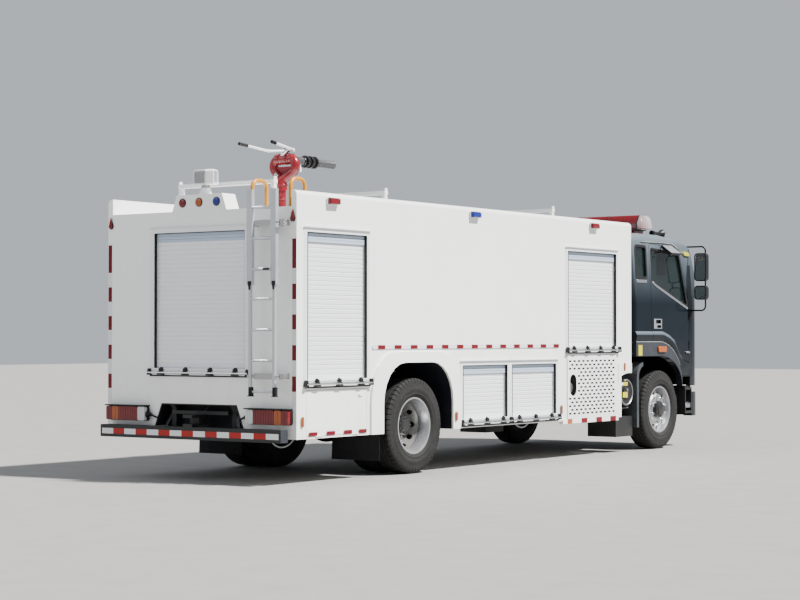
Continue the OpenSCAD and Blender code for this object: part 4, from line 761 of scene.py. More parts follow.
def light_bar():
    how = {"body": "cab", "node": "light_bar"}
    red = Shape().loft([bar_section(1, 1, y) for y in (-0.905, -0.40, -0.396, 0.396, 0.40, 0.905)])
    red.make("light_bar_lens", LENS_RED, 0.004, **how)
    ribs = Shape()
    for y in (-0.908, -0.45, 0.0, 0.45, 0.908):
        ribs.loft([bar_section(1.02, 1.012, y + d) for d in (-0.006, 0.006)])
    ribs.make("light_bar_joints", BLACK, 0.001, **how)
    ends, inner, feet = Shape(), Shape(), Shape()
    for s in SIDES:
        ends.loft([bar_section(k, q, s * y) for y, k, q in
                   ((0.914, 0.985, 0.99), (0.945, 0.94, 0.97), (0.975, 0.84, 0.91), (1.002, 0.68, 0.80),
                    (1.020, 0.48, 0.64), (1.028, 0.28, 0.42))])
        inner.loft([bar_section(k, q, s * y) for y, k, q in
                    ((0.9145, 0.86, 0.84), (0.935, 0.78, 0.74), (0.962, 0.50, 0.50), (0.975, 0.34, 0.38))])
        feet.box(BAR_X - 0.09, BAR_X + 0.09, s * 0.66, s * 0.78, 2.752, 2.787)
    ends.make("light_bar_ends", DOME, **how)
    inner.make("light_bar_reflectors", LENS_RED, **how)
    seat = Shape().box(BAR_X - 0.128, BAR_X + 0.128, -0.90, 0.90, 2.8255, 2.8395)
    seat.make("light_bar_seat", BLACK, 0.002, **how)
    tier = Shape().loft([[(BAR_X + sx * w, y, z)
                          for sx, y in ((-1, -0.86), (1, -0.86), (1, 0.86), (-1, 0.86))]
                         for z, w in ((2.786, 0.112), (2.8245, 0.138))])
    tier.make("light_bar_tier", LENS_RED, 0.004, **how)
    feet.make("light_bar_feet", CHROME, 0.004, **how)


light_bar()


# Work lamp: lenses, bezels, fins, and a rubber boot round the neck
def work_lamp():
    base = Vector((0.100, 0.0, 2.9453))
    boot = Shape().lathe(base, "z",
                         [(0.030, 0.002), (0.0478, 0.002), (0.046, 0.010), (0.041, 0.012), (0.043, 0.020),
                          (0.038, 0.024), (0.040, 0.032), (0.0355, 0.036), (0.037, 0.044),
                          (0.033, 0.050), (0.034, 0.058), (0.030, 0.060)], 40)
    boot.make("work_lamp_boot", RUBBER, body="work_lamp")
    lenses, bezel, fins = Shape(), Shape(), Shape()
    for local, turn in (((-0.062, 0.022, 0.105), 0.0), ((0.010, -0.118, 0.105), 115.0)):
        spin = Matrix.Rotation(math.radians(turn), 3, "Z")

        def placed(points):
            return [tuple(base + Vector(local) + spin @ Vector(p)) for p in points]

        def ring(x, w, h, r):
            return placed([(x, y, z) for y, z in round_rect(-w, w, -h, h, r)])
        lenses.loft([ring(-0.0005, 0.071, 0.059, 0.018), ring(-0.004, 0.070, 0.058, 0.018),
                     ring(-0.0065, 0.052, 0.042, 0.014)])
        bezel.hoop([ring(0.0, 0.0885, 0.0765, 0.026), ring(-0.008, 0.086, 0.074, 0.025),
                    ring(-0.008, 0.0725, 0.0605, 0.018), ring(0.0, 0.0705, 0.0585, 0.018)])
        for i in range(7):
            fins.loft([placed([(x, y, z)
                               for x, z in ((0.066, -0.060), (0.088, -0.050), (0.088, 0.050),
                                            (0.066, 0.060))])
                       for y in (0.02 * i - 0.062, 0.02 * i - 0.058)])
    lenses.make("work_lamp_lenses", WORK_LENS, body="work_lamp")
    bezel.make("work_lamp_bezels", ROOF_WHITE, 0.002, body="work_lamp")
    fins.make("work_lamp_fins", ROOF_WHITE, 0.0008, body="work_lamp")


work_lamp()


# Monitor: flange bolts, bands, a bare plate, white control arms, ribbed collars and the grey tube
COLUMN = (1.315, 0.0, 0.0)
AXIS = (1.370, 0.0, 3.330)
CONTROL_LIFT = 0.012


def on_axis(x, y, z):
    return (AXIS[0] + x, AXIS[1] + y, AXIS[2] + z)


def monitor_stand():
    base = Shape().studs(COLUMN, "z", 0.100, 8, 22.5, (2.726, 2.728, 0.016, 20), (2.728, 2.738, 0.0125, 6),
                         (2.738, 2.746, 0.007, 12))
    base.make("monitor_flange_bolts", STEEL, smooth=False)
    band = Shape()
    for z in (2.76, 2.900):
        band.lathe((COLUMN[0], 0, z), "z",
                   [(0.0495, -0.010), (0.054, -0.010), (0.056, -0.006), (0.056, 0.006),
                    (0.054, 0.010), (0.0495, 0.010)])
    band.make("monitor_column_bands", RED)
    swivel = Shape().lathe((COLUMN[0], 0, 3.033), "z",
                           [(0.058, 0.002), (0.065, 0.002), (0.067, 0.006), (0.067, 0.020),
                            (0.064, 0.026), (0.058, 0.026)])
    for turn in range(20, 380, 60):
        swivel.rod(spun(COLUMN, "z", 0.062, 3.046, turn), spun(COLUMN, "z", 0.073, 3.046, turn), 0.006, n=6)
    swivel.make("monitor_swivel_band", RED, body="monitor_swivel")
    c, s = math.cos(math.radians(40)), math.sin(math.radians(40))
    corners = [(-0.025, -0.020), (0.025, -0.020), (0.025, 0.020), (-0.025, 0.020)]
    plate = Shape().loft([[(COLUMN[0] - x, 0.050 + u * c - v * s, 3.158 + u * s + v * c) for u, v in corners]
                          for x in (0.034, 0.024)])
    plate.make("monitor_plate", PLATE, 0.0015, body="monitor_swivel")
    seams = Shape()
    for s in SIDES:
        seams.lathe(AXIS, "y", [(0.0555, s * 0.058), (0.0600, s * 0.058), (0.0615, s * 0.061),
                                (0.0615, s * 0.070), (0.0600, s * 0.073), (0.0555, s * 0.073)])
        seams.studs(AXIS, "y", 0.0595, 8, 35, (s * 0.073, s * 0.078, 0.005, 6))
    seams.make("monitor_trunnion_bands", RED, body="monitor_swivel")
    sleeve = Shape().lathe(AXIS, "y", [(0.0595, -0.048), (0.0615, -0.048), (0.0625, -0.045), (0.0625, -0.014),
                                       (0.061, -0.012), (0.061, 0.012), (0.0625, 0.014), (0.0625, 0.045),
                                       (0.0615, 0.048), (0.0595, 0.048)])
    sleeve.make("monitor_hub_sleeve", RED, body="monitor_gun")


def monitor_controls():
    """White arms with ribbed grips."""
    def lifted(*points):
        return [on_axis(x, y, z + CONTROL_LIFT) for x, y, z in points]
    arms = Shape()
    arms.tube(lifted((0.048, 0.0, 0.0805), (-0.05, 0.014, 0.0735), (-0.20, 0.0357, 0.0622),
                     (-0.230, 0.040, 0.0605), (-0.262, 0.0476, 0.0646), (-0.489, 0.1014, 0.0975)), 0.0130, 14)
    arms.tube(lifted((0.050, -0.012, 0.082), (0.060, -0.060, 0.0895), (0.052, -0.070, 0.0905),
                     (-0.10, -0.1241, 0.095), (-0.469, -0.258, 0.1066)), 0.0152, 14)
    arms.rod(*lifted((-0.246, 0.0438, 0.0625), (-0.214, 0.0377, 0.0612)), 0.0155)
    arms.rod(*lifted((0.060, -0.066, 0.073), (0.060, -0.066, 0.107)), 0.0175, n=20)
    arms.make("monitor_arms", ROOF_WHITE, body="monitor_gun")
    grips = Shape()
    for ends in (lifted((-0.490, 0.1016, 0.0976), (-0.600, 0.1277, 0.1134)),
                 lifted((-0.470, -0.2584, 0.1067), (-0.580, -0.2983, 0.1102))):
        a, b = [Vector(p) for p in ends]
        for i in range(9):
            grips.rod(a.lerp(b, 0.06 + 0.11 * i), a.lerp(b, 0.11 + 0.11 * i), 0.0175, n=20)
        grips.rod(b, b + (b - a).normalized() * 0.006, 0.019, 0.014, n=20)
    grips.make("monitor_grips", RUBBER, body="monitor_gun")


def monitor_barrel():
    tube = Shape()
    tube.lathe(AXIS, "x", [(0.0405, 0.520), (0.0425, 0.520), (0.0425, 0.835), (0.0445, 0.839),
                           (0.0445, 0.8445), (0.034, 0.8445), (0.034, 0.839), (0.0405, 0.835)])
    tube.lathe(AXIS, "x", [(0.0435, 0.190), (0.0455, 0.190), (0.0455, 0.290), (0.0435, 0.290)])
    tube.make("monitor_tube", GREY_BARREL, body="monitor_gun")
    ribs = Shape()
    narrow = ((0.0435, 0.0), (0.050, 0.0), (0.052, 0.003), (0.052, 0.015), (0.050, 0.018), (0.0435, 0.018))
    collar = ((0.0615, 0.0), (0.0685, 0.003), (0.0685, 0.017), (0.0615, 0.020))
    disc = ((0.0435, -0.006), (0.058, -0.004), (0.058, 0.004), (0.0435, 0.006))
    for profile, places in ((narrow, (0.095, 0.135, 0.300)), (collar, (0.337, 0.415, 0.493)),
                            (disc, (0.376, 0.454))):
        for x in places:
            ribs.lathe(AXIS, "x", [(r, x + w) for r, w in profile])
    ribs.make("monitor_ribs", BARREL, body="monitor_gun")


def monitor_details():
    """The knob at the arms' root, the vee under it and the locking lever."""
    knob = Shape().lathe(on_axis(0.048, 0, CONTROL_LIFT), "z", [(0.0, 0.089), (0.030, 0.089), (0.036, 0.093),
                                                                (0.036, 0.108), (0.030, 0.115), (0.0, 0.117)],
                         32)
    knob.make("monitor_knob", BLACK, body="monitor_gun")
    vee = Shape()
    for s in SIDES:
        vee.loft([[on_axis(x, s * y, z) for x, y, z in ring] for ring in (
            ((-0.052, 0.0, 0.030), (-0.046, 0.0, 0.052), (-0.046, 0.016, 0.052), (-0.052, 0.016, 0.030)),
            ((-0.006, 0.030, 0.098), (0.016, 0.030, 0.100), (0.016, 0.048, 0.100), (-0.006, 0.048, 0.098)))])
    vee.box(AXIS[0] - 0.010, AXIS[0] + 0.020, -0.048, 0.048, AXIS[2] + 0.096, AXIS[2] + 0.101)
    vee.make("monitor_vee", ROOF_WHITE, 0.002, body="monitor_gun")
    lever = Shape().rod(on_axis(0.236, -0.020, -0.040), on_axis(0.228, -0.030, -0.075), 0.007, n=12)
    lever.box(AXIS[0] + 0.216, AXIS[0] + 0.240, -0.038, -0.022, AXIS[2] - 0.120, AXIS[2] - 0.072)
    lever.make("monitor_lever", ROOF_WHITE, 0.002, body="monitor_gun")



monitor_stand()
monitor_controls()
monitor_barrel()
monitor_details()


# Tyres: ribs and grooves round the tread, lugs on its shoulders, and steps on the sidewalls
def tyre_profile(lug):
    """(radius, across) points round a tyre. lug is 1 on a shoulder lug and 0 between two."""
    cut = 0.010 * (1 - lug)
    half = [(0.2866, 0.1012), (0.2995, 0.1062), (0.3003, 0.1150), (0.310, 0.1225), (0.330, 0.1300),
            (0.333, 0.1328), (0.341, 0.1333), (0.344, 0.1318), (0.372, 0.1362), (0.376, 0.1378),
            (0.398, 0.1380), (0.402, 0.1365), (0.428, 0.1352), (0.446, 0.1322), (0.452, 0.1325 - cut * 0.3),
            (0.470, 0.1280 - cut * 0.5), (0.488 - cut * 0.6, 0.1215 - cut * 0.3), (0.4985 - cut, 0.112),
            (0.5025 - cut, 0.098), (0.5042 - cut * 0.7, 0.074), (0.4935, 0.0722), (0.4935, 0.0640),
            (0.5050, 0.0622), (0.5056, 0.0300), (0.4940, 0.0285), (0.4940, 0.0205), (0.5058, 0.0190)]
    return half + [(r, -y) for r, y in reversed(half)]


def tyre(shape, centre, lugs=54):
    step = 360.0 / lugs
    turns = [((i + part) * step, lug) for i in range(lugs)
             for part, lug in ((0, 1), (0.80, 1), (0.83, 0), (0.97, 0))]
    shape.hoop([[spun(centre, "y", r, across, turn) for r, across in tyre_profile(lug)]
                for turn, lug in turns])


BARREL_HALF = [(0.284, -0.117), (0.299, -0.117), (0.2995, -0.112), (0.299, -0.107), (0.2865, -0.103),
               (0.284, -0.077), (0.266, -0.020)]
BARREL_BACK = [(0.284, 0.117), (0.279, 0.108), (0.273, 0.088), (0.268, 0.070), (0.252, 0.014)]
BARREL_SECTION = (BARREL_HALF + [(r, -w) for r, w in reversed(BARREL_HALF)][:-1] + BARREL_BACK
                  + [(r, -w) for r, w in reversed(BARREL_BACK)][:-1])


def holed_ring(shape, centre, path, hole_r, thick, count=10, radius=0.0325, m=6):
    """A ring skinned between the two (radius, along) points of path, pierced by round holes near hole_r."""
    (r0, a0), (r1, a1) = path
    slant = math.hypot(r1 - r0, a1 - a0)
    uc = (hole_r - r0) / (r1 - r0)
    half = math.pi / count
    corners = [(half, 1.0), (-half, 1.0), (-half, 0.0), (half, 0.0)]
    turns = [math.atan2((u - uc) * slant, t * hole_r) for t, u in corners]
    turns = [t + 2 * math.pi * (t < turns[0] - 1e-9) for t in turns] + [turns[0] + 2 * math.pi]
    edge, ring = [], []
    for i in range(4):
        (ta, ua), (tb, ub) = corners[i], corners[(i + 1) % 4]
        for k in (j / m for j in range(m)):
            edge.append((ta + (tb - ta) * k, ua + (ub - ua) * k))
            phi = turns[i] + (turns[i + 1] - turns[i]) * k
            ring.append((radius * math.cos(phi) / hole_r, uc + radius * math.sin(phi) / slant))
    n = 4 * m
    levels = [[(e[0] + (r[0] - e[0]) * t, e[1] + (r[1] - e[1]) * t) for e, r in zip(edge, ring)]
              for t in (0, 0.5, 1)]
    for s in range(count):
        mid = 2 * math.pi * (s + 0.5) / count
        verts = [spun(centre, "y", r0 + (r1 - r0) * u + thick[0] * depth,
                      a0 + (a1 - a0) * u + thick[1] * depth, math.degrees(mid + t))
                 for level, depth in ((0, 0), (1, 0), (2, 0), (2, 1), (1, 1), (0, 1))
                 for t, u in levels[level]]
        faces = [(a * n + i, a * n + (i + 1) % n, (a + 1) * n + (i + 1) % n, (a + 1) * n + i)
                 for a in range(5) for i in range(n)]
        faces += [(i, 5 * n + i, 5 * n + (i + 1) % n, (i + 1) % n) for i in range(n) if i % (2 * m) < m]
        shape.add(verts, faces)


def rims():
    for side in SIDES:
        c = (FRONT_X, 1.043, AXLE_Z)
        how = {"body": "front_wheel_*", "node": "front_rim_*"}
        disc, rest = Shape(side), Shape(side)
        holed_ring(disc, c, ((0.188, 0.0785), (0.262, 0.0215)), 0.2235, (-0.006, -0.011))
        mend(disc.make("front_disc_*", RIM, angle=50.0, **how).data, 0.00002)
        rest.lathe(c, "y", BARREL_SECTION, 96)
        rest.lathe(c, "y", [(0.060, 0.062), (0.186, 0.062), (0.189, 0.0665), (0.189, 0.0785), (0.184, 0.0800),
                            (0.060, 0.0800)], 72)
        rest.lathe(c, "y", [(0.042, 0.010), (0.105, 0.010), (0.105, 0.112), (0.042, 0.112)])
        rest.lathe(c, "y", [(0.254, 0.008), (0.267, 0.004), (0.267, 0.0235), (0.259, 0.0235)], 96)
        rest.make("front_barrel_*", RIM, angle=30.0, **how)
        c, c2 = (REAR_X, 1.053, AXLE_Z), (REAR_X, 0.733, AXLE_Z)
        how = {"body": "rear_wheel_*", "node": "rear_rims_*"}
        disc, rest = Shape(side), Shape(side)
        holed_ring(disc, c, ((0.194, -0.148), (0.256, -0.004)), 0.2245, (0.010, -0.004))
        # The rear disc takes the darker silver, a painted shade
        mend(disc.make("rear_disc_*", DISC_IN_SHADE, angle=50.0, **how).data, 0.00002)
        rest.lathe(c, "y", BARREL_SECTION, 96)
        rest.lathe(c2, "y", BARREL_SECTION, 96)
        rest.lathe(c, "y", [(0.060, -0.1595), (0.198, -0.1595), (0.203, -0.154), (0.196, -0.148),
                            (0.060, -0.148)], 72)
        rest.lathe(c, "y", [(0.256, -0.012), (0.267, -0.012), (0.267, 0.004), (0.257, 0.004)], 96)
        rest.lathe(c2, "y", [(0.060, 0.148), (0.190, 0.148), (0.252, 0.002), (0.263, 0.002), (0.263, 0.025),
                             (0.198, 0.160), (0.060, 0.160)], 96)
        rest.make("rear_barrel_*", RIM, angle=30.0, **how)


def wheels():
    """Tyres, hub ends and wheel nuts."""
    for side in SIDES:
        front, rear = {"body": "front_wheel_*"}, {"body": "rear_wheel_*"}
        shape = Shape(side)
        tyre(shape, (FRONT_X, 1.043, AXLE_Z))
        shape.make("tyre_front_*", TYRE, angle=28.0, node="front_tyre_*", **front)
        shape = Shape(side)
        tyre(shape, (REAR_X, 1.053, AXLE_Z))
        tyre(shape, (REAR_X, 0.733, AXLE_Z))
        shape.make("tyre_rear_*", TYRE, angle=28.0, node="rear_tyres_*", **rear)
        c = (FRONT_X, 0.0, AXLE_Z)
        hub = Shape(side).lathe(c, "y", [(0.0, 1.158), (0.1055, 1.158), (0.1065, 1.120), (0.1085, 1.120),
                                         (0.1085, 1.152), (0.104, 1.166), (0.080, 1.176), (0.074, 1.188),
                                         (0.040, 1.193), (0.0, 1.194)])
        hub.studs(c, "y", 0.090, 8, 0, (1.170, 1.179, 0.008, 6))
        hub.make("front_hub_*", BARREL, slot="chassis_paint", **front)
        nuts = Shape(side).studs(c, "y", 0.168, 10, 0, (1.120, 1.126, 0.0225, 20), (1.126, 1.153, 0.0185, 6),
                                 (1.153, 1.162, 0.011, 12))
        nuts.make("front_nuts_*", CHROME, 0.0012, 1, slot="wheel_paint", **front)
        c = (REAR_X, 0.0, AXLE_Z)
        hub = Shape(side).lathe(c, "y", [(0.058, 0.825), (0.130, 0.825), (0.130, 0.925), (0.114, 0.936),
                                         (0.106, 0.946), (0.104, 1.040), (0.098, 1.052), (0.070, 1.056),
                                         (0.066, 1.064), (0.0, 1.066), (0.0, 1.050), (0.058, 1.050)], 56)
        hub.studs(c, "y", 0.085, 10, 18, (1.050, 1.063, 0.0085, 6))
        hub.make("rear_hub_*", BARREL, slot="chassis_paint", **rear)
        nuts = Shape(side).studs(c, "y", 0.168, 10, 0, (0.905, 0.911, 0.0225, 20), (0.911, 0.940, 0.0185, 6))
        nuts.make("rear_nuts_*", STEEL, 0.0012, 1, slot="wheel_paint", **rear)


def drums():
    """Brake drums inside the front wheels."""
    for side in SIDES:
        drum = Shape(side).lathe((FRONT_X, 0, AXLE_Z), "y", [
            (0.116, 0.905), (0.196, 0.905), (0.206, 0.915), (0.206, 1.040), (0.212, 1.044), (0.212, 1.092),
            (0.116, 1.092)], 64)
        drum.make("front_drum_*", IRON, body="steer_*")


wheels()
rims()


# Outlines on the cab
def corners_of(points):
    """Each point with its neighbours before and after it, as vectors."""
    return [tuple(Vector(points[j % len(points)]) for j in (i - 1, i, i + 1)) for i in range(len(points))]


def rounded(points, r):
    """The outline with each corner turned into an arc."""
    out = []
    for p, q, s in corners_of(points):
        a, b = (p - q).normalized(), (s - q).normalized()
        half = a.angle(b) / 2
        t = r / math.tan(half)
        centre = q + (a + b).normalized() * (r / math.sin(half))
        start, end = q + a * t - centre, q + b * t - centre
        turn = start.angle_signed(end)
        for j in range(5):
            c, d = math.cos(-turn * j / 4), math.sin(-turn * j / 4)
            out.append((centre.x + start.x * c - start.y * d, centre.y + start.x * d + start.y * c))
    return out


def grown(points, t):
    """An anticlockwise outline moved outwards by t."""
    out = []
    for p, q, s in corners_of(points):
        a, b = (q - p).normalized(), (s - q).normalized()
        na, nb = Vector((a.y, -a.x)), Vector((b.y, -b.x))
        out.append(tuple(q + (na + nb) * (t / max(0.2, 1 + na.dot(nb)))))
    return out


def rect(w, z0, z1):
    return [(w, z0), (w, z1), (-w, z1), (-w, z0)]


# Cab side trim. Outlines are (x, z) points, and depths count outwards from the cab's skin
def on_side(x, z, d):
    y = CAB_HW
    if z >= 2.635:
        y += math.sqrt(max(0.0, 0.130 ** 2 - (z - 2.635) ** 2)) - 0.170
    elif z >= 1.900:
        y -= 0.040 * (z - 1.900) / 0.735
    return (x, y + d, z)


def side_plate(shape, outline, d0, d1):
    shape.loft([[on_side(x, z, d) for x, z in outline] for d in (d0, d1)])


def side_strip(shape, path, width, d0, d1):
    """A flat strip of one width along a line of (x, z) points."""
    rings = []
    last = len(path) - 1
    for i, p in enumerate(path):
        q = Vector(p)
        before, after = Vector(path[max(i - 1, 0)]), Vector(path[min(i + 1, last)])
        u = (q - before).normalized() if i else (after - q).normalized()
        v = (after - q).normalized() if i < last else u
        m = Vector((-(u + v).y, (u + v).x)).normalized()
        m *= width / 2 / max(0.4, m.dot(Vector((-u.y, u.x))))
        rings.append([on_side(*e, d) for e, d in ((q + m, d0), (q + m, d1), (q - m, d1), (q - m, d0))])
    shape.loft(rings)


DOOR_X0, DOOR_X1 = CAB_X0 + 0.450, CAB_X1 - 0.420
DOOR_WINDOW = [(DOOR_X0 + 0.160, 2.120), (DOOR_X1 - 0.045, 1.835), (DOOR_X1 - 0.235, 2.530),
               (DOOR_X0 + 0.050, 2.572), (DOOR_X0 + 0.050, 2.155)]
QUARTER = [(CAB_X0 + 0.085, 2.190), (CAB_X0 + 0.360, 2.190), (CAB_X0 + 0.360, 2.590), (CAB_X0 + 0.085, 2.590)]
SHOULDER_TOP = [(6.7, 1.511), (7.570, 1.511), (7.737, 1.468), (7.893, 1.400), (7.965, 1.318), (8.030, 1.228),
                (8.160, 1.146), (8.30, 1.095)]
SHOULDER_LIP = [(6.7, 1.3785)] + [(7.450 + 0.647 * math.cos(math.radians(a)),
                                   0.800 + 0.578 * math.sin(math.radians(a)))
                                  for a in (90, 80, 70, 60, 50, 42, 37)]
# Across the moulding from its top edge to the lip: share of the way down, and share of its swell
SHOULDER_SWELL = ((0.0, 0.0), (0.10, 0.34), (0.24, 0.76), (0.36, 0.96), (0.46, 1.0), (0.58, 0.88),
                  (0.75, 0.58), (0.9, 0.25), (1.0, 0.0))


def at_x(path, x):
    for p, q in zip(path, path[1:]):
        if p[0] <= x <= q[0]:
            return Vector(p).lerp(Vector(q), (x - p[0]) / (q[0] - p[0])).y
    return path[-1][1]


def shoulder(side, x0, x1, name, body):
    """The swelling over the wheel arch. It thins out towards the front corner."""
    rings = []
    for i in range(29):
        x = x0 + (x1 - x0) * i / 28
        past = max(0.0, x - 7.955)
        top = at_x(SHOULDER_TOP, x)
        low = at_x(SHOULDER_LIP, min(x, 7.955 + 0.35 * past))
        if past:
            low = min(low, top - 0.012)
        fade = min(1.0, max(0.0, (8.165 - x) / 0.35))
        swell = 0.024 * (0.25 + 0.75 * fade) * min(1.0, (top - low) / 0.10)
        skin = [(x, CAB_HW + 0.0085 + swell * k, top + (low - top) * v) for v, k in SHOULDER_SWELL]
        rings.append(skin + [(x, CAB_HW + 0.0030, low), (x, CAB_HW + 0.0030, top)])
    Shape(side).loft(rings).make(name, CAB, body=body, angle=50.0)


def cab_trim():
    door, cab = {"body": "door_*"}, {"body": "cab"}
    for side in SIDES:
        seal = Shape(side).edging(on_side, rounded(grown(DOOR_WINDOW, 0.012), 0.036),
                                  rounded(grown(DOOR_WINDOW, -0.016), 0.018), (-0.023, 0.003, 0.003, -0.023))
        seal.make("door_window_seal_*", RUBBER, **door)
        bright = Shape(side)
        side_strip(bright, [(DOOR_X0 + 0.060, 2.141), (DOOR_X0 + 0.152, 2.098), (DOOR_X1 - 0.048, 1.815)],
                   0.030, -0.002, 0.008)
        bright.make("door_waist_trim_*", ALU, 0.003, **door)
        plate, wells = Shape(side), Shape(side)
        for shape, d0, d1, parts in (
                (plate, 0.0025, 0.0060, ((0.067, 0.283, 1.660, 1.673), (0.067, 0.283, 1.592, 1.612),
                                         (0.067, 0.283, 1.547, 1.556), (0.067, 0.120, 1.612, 1.660),
                                         (0.255, 0.283, 1.612, 1.660), (0.067, 0.150, 1.556, 1.592),
                                         (0.262, 0.283, 1.556, 1.592))),
                (wells, -0.0215, -0.0185, ((0.121, 0.254, 1.613, 1.659), (0.151, 0.261, 1.557, 1.591)))):
            for a, b, c, d in parts:
                shape.box(DOOR_X0 + a, DOOR_X0 + b, CAB_HW + d0, CAB_HW + d1, c, d)
        plate.make("door_handle_face_*", HANDLE, smooth=False, **door)
        wells.make("door_handle_wells_*", BLACK, smooth=False, **door)
        seal = Shape(side).edging(on_side, rounded(grown(QUARTER, 0.020), 0.052),
                                  rounded(grown(QUARTER, -0.012), 0.024), (-0.019, 0.004, 0.004, -0.019))
        seal.make("quarter_window_seal_*", RUBBER, **cab)
        bright = Shape(side)
        side_plate(bright, rounded([(6.905, 2.128), (7.168, 2.128), (7.176, 2.166), (6.905, 2.166)], 0.008),
                   -0.002, 0.007)
        bright.make("quarter_window_trim_*", ALU, 0.002, **cab)
        rail = Shape(side).tube([on_side(x, z, 0.006) for x, z in (
            (7.060, 2.652), (7.178, 2.657), (7.894, 2.660), (7.990, 2.628), (8.092, 2.576), (8.264, 2.516))],
            0.010, 10)
        rail.make("drip_rail_*", CHROME, **cab)
        lamp = Shape(side)
        side_plate(lamp, rounded([(8.235, 2.510), (8.392, 2.505), (8.350, 2.553), (8.198, 2.566)], 0.010),
                   -0.004, 0.020)
        lamp.make("pillar_lamp_*", LENS_YELLOW, 0.004, **cab)
        # Wheel arch panel, its pale lip, and two markers
        arch = arc(7.500, 0.793, 0.590, 0.405, 90, 2, 20) + arc(7.450, 0.800, 0.645, 0.576, 2, 90, 20)
        fender = Shape(side).prism([(6.832, 1.198)] + arch + [(6.832, 1.376)], "y", CAB_HW + 0.0185,
                                   CAB_HW + 0.0225)
        fender.make("fender_face_*", DARK_GREY, 0.0015, slot="cab_paint", **cab)
        edge = Shape(side).tube([(x, CAB_HW + 0.0215, z)
                                 for x, z in arc(7.450, 0.800, 0.647, 0.578, 28, 90, 18)
                                 + [(7.20, 1.3785), (6.832, 1.3785)]], 0.0065, 8)
        edge.make("fender_lip_*", HANDLE, slot="cab_paint", **cab)
        mark = Shape(side).box(6.888, 6.986, CAB_HW + 0.022, CAB_HW + 0.0245, 1.205, 1.338)
        mark.make("fender_reflector_*", LENS_YELLOW, 0.001, **cab)
        mark = Shape(side).prism(round_rect(7.395, 7.615, 1.246, 1.321, 0.022), "y", CAB_HW + 0.021,
                                 CAB_HW + 0.046)
        mark.make("fender_marker_*", LENS_AMBER, 0.006, **cab)
        shoulder(side, 6.832, DOOR_X0 - 0.001, "shoulder_cab_*", "cab")
        shoulder(side, DOOR_X0 + 0.006, 8.150, "shoulder_door_*", "door_*")
        clip = Shape(side)
        for x in (8.235, 8.272, 8.309):
            clip.rod((x, CAB_HW + 0.006, 1.238), (x, CAB_HW + 0.016, 1.238), 0.013)
        clip.box(8.235, 8.309, CAB_HW + 0.006, CAB_HW + 0.011, 1.232, 1.244)
        clip.make("shoulder_clip_*", ALU, 0.001, **door)


cab_trim()


# Mirror faces, horn mouth, kerb mirror and the housing under the mirror arm
def mirror_faces():
    x = CAB_X1 - 0.390
    for side in SIDES:
        mirror, rim = Shape(side), Shape(side)
        for z0, z1, r in ((2.188, 2.533, 0.036), (1.943, 2.105, 0.034)):
            mirror.prism(round_rect(1.322, 1.468, z0, z1, r), "x", x - 0.0025, x + 0.001)
            rim.edging(lambda y, z, d: (x - d, y, z), round_rect(1.308, 1.482, z0 - 0.013, z1 + 0.013, 0.045),
                       round_rect(1.322, 1.468, z0, z1, 0.035), (-0.001, 0.005, 0.008, 0.0015))
        mirror.make("mirror_glass_*", MIRROR, 0.001, body="cab")
        rim.make("mirror_rims_*", BLACK, body="cab")
        foot = Shape(side).box(8.352, 8.432, CAB_HW - 0.055, CAB_HW + 0.020, 1.700, 1.778)
        foot.make("mirror_foot_*", BLACK, 0.014, 3, body="cab")
    horn = Shape().lathe((CAB_X1 - 0.480, -0.880, 2.810), "x", [
        (0.0625, -0.010), (0.066, -0.002), (0.066, 0.002), (0.058, 0.003), (0.030, -0.040), (0.0, -0.046)],
        32)
    horn.make("horn_mouth", CHROME, body="cab")
    c, s = math.cos(math.radians(-37)), math.sin(math.radians(-37))
    for name, mat, bevel, inset, r, w0, w1 in (("back", HANDLE, 0.001, 0.010, 0.014, 0.025, 0.0285),
                                               ("glass", MIRROR, 0.0, 0.022, 0.010, -0.0165, -0.0135)):
        outline = round_rect(inset, 0.275 - inset, inset, 0.185 - inset, r)
        plate = Shape().loft([[(DOOR_X0 + 0.270 + x, -(CAB_HW - 0.008 + v * c - w * s), 2.606 + v * s + w * c)
                               for x, v in outline] for w in (w0, w1)])
        plate.make("kerb_mirror_" + name, mat, bevel, body="door_right")


mirror_faces()


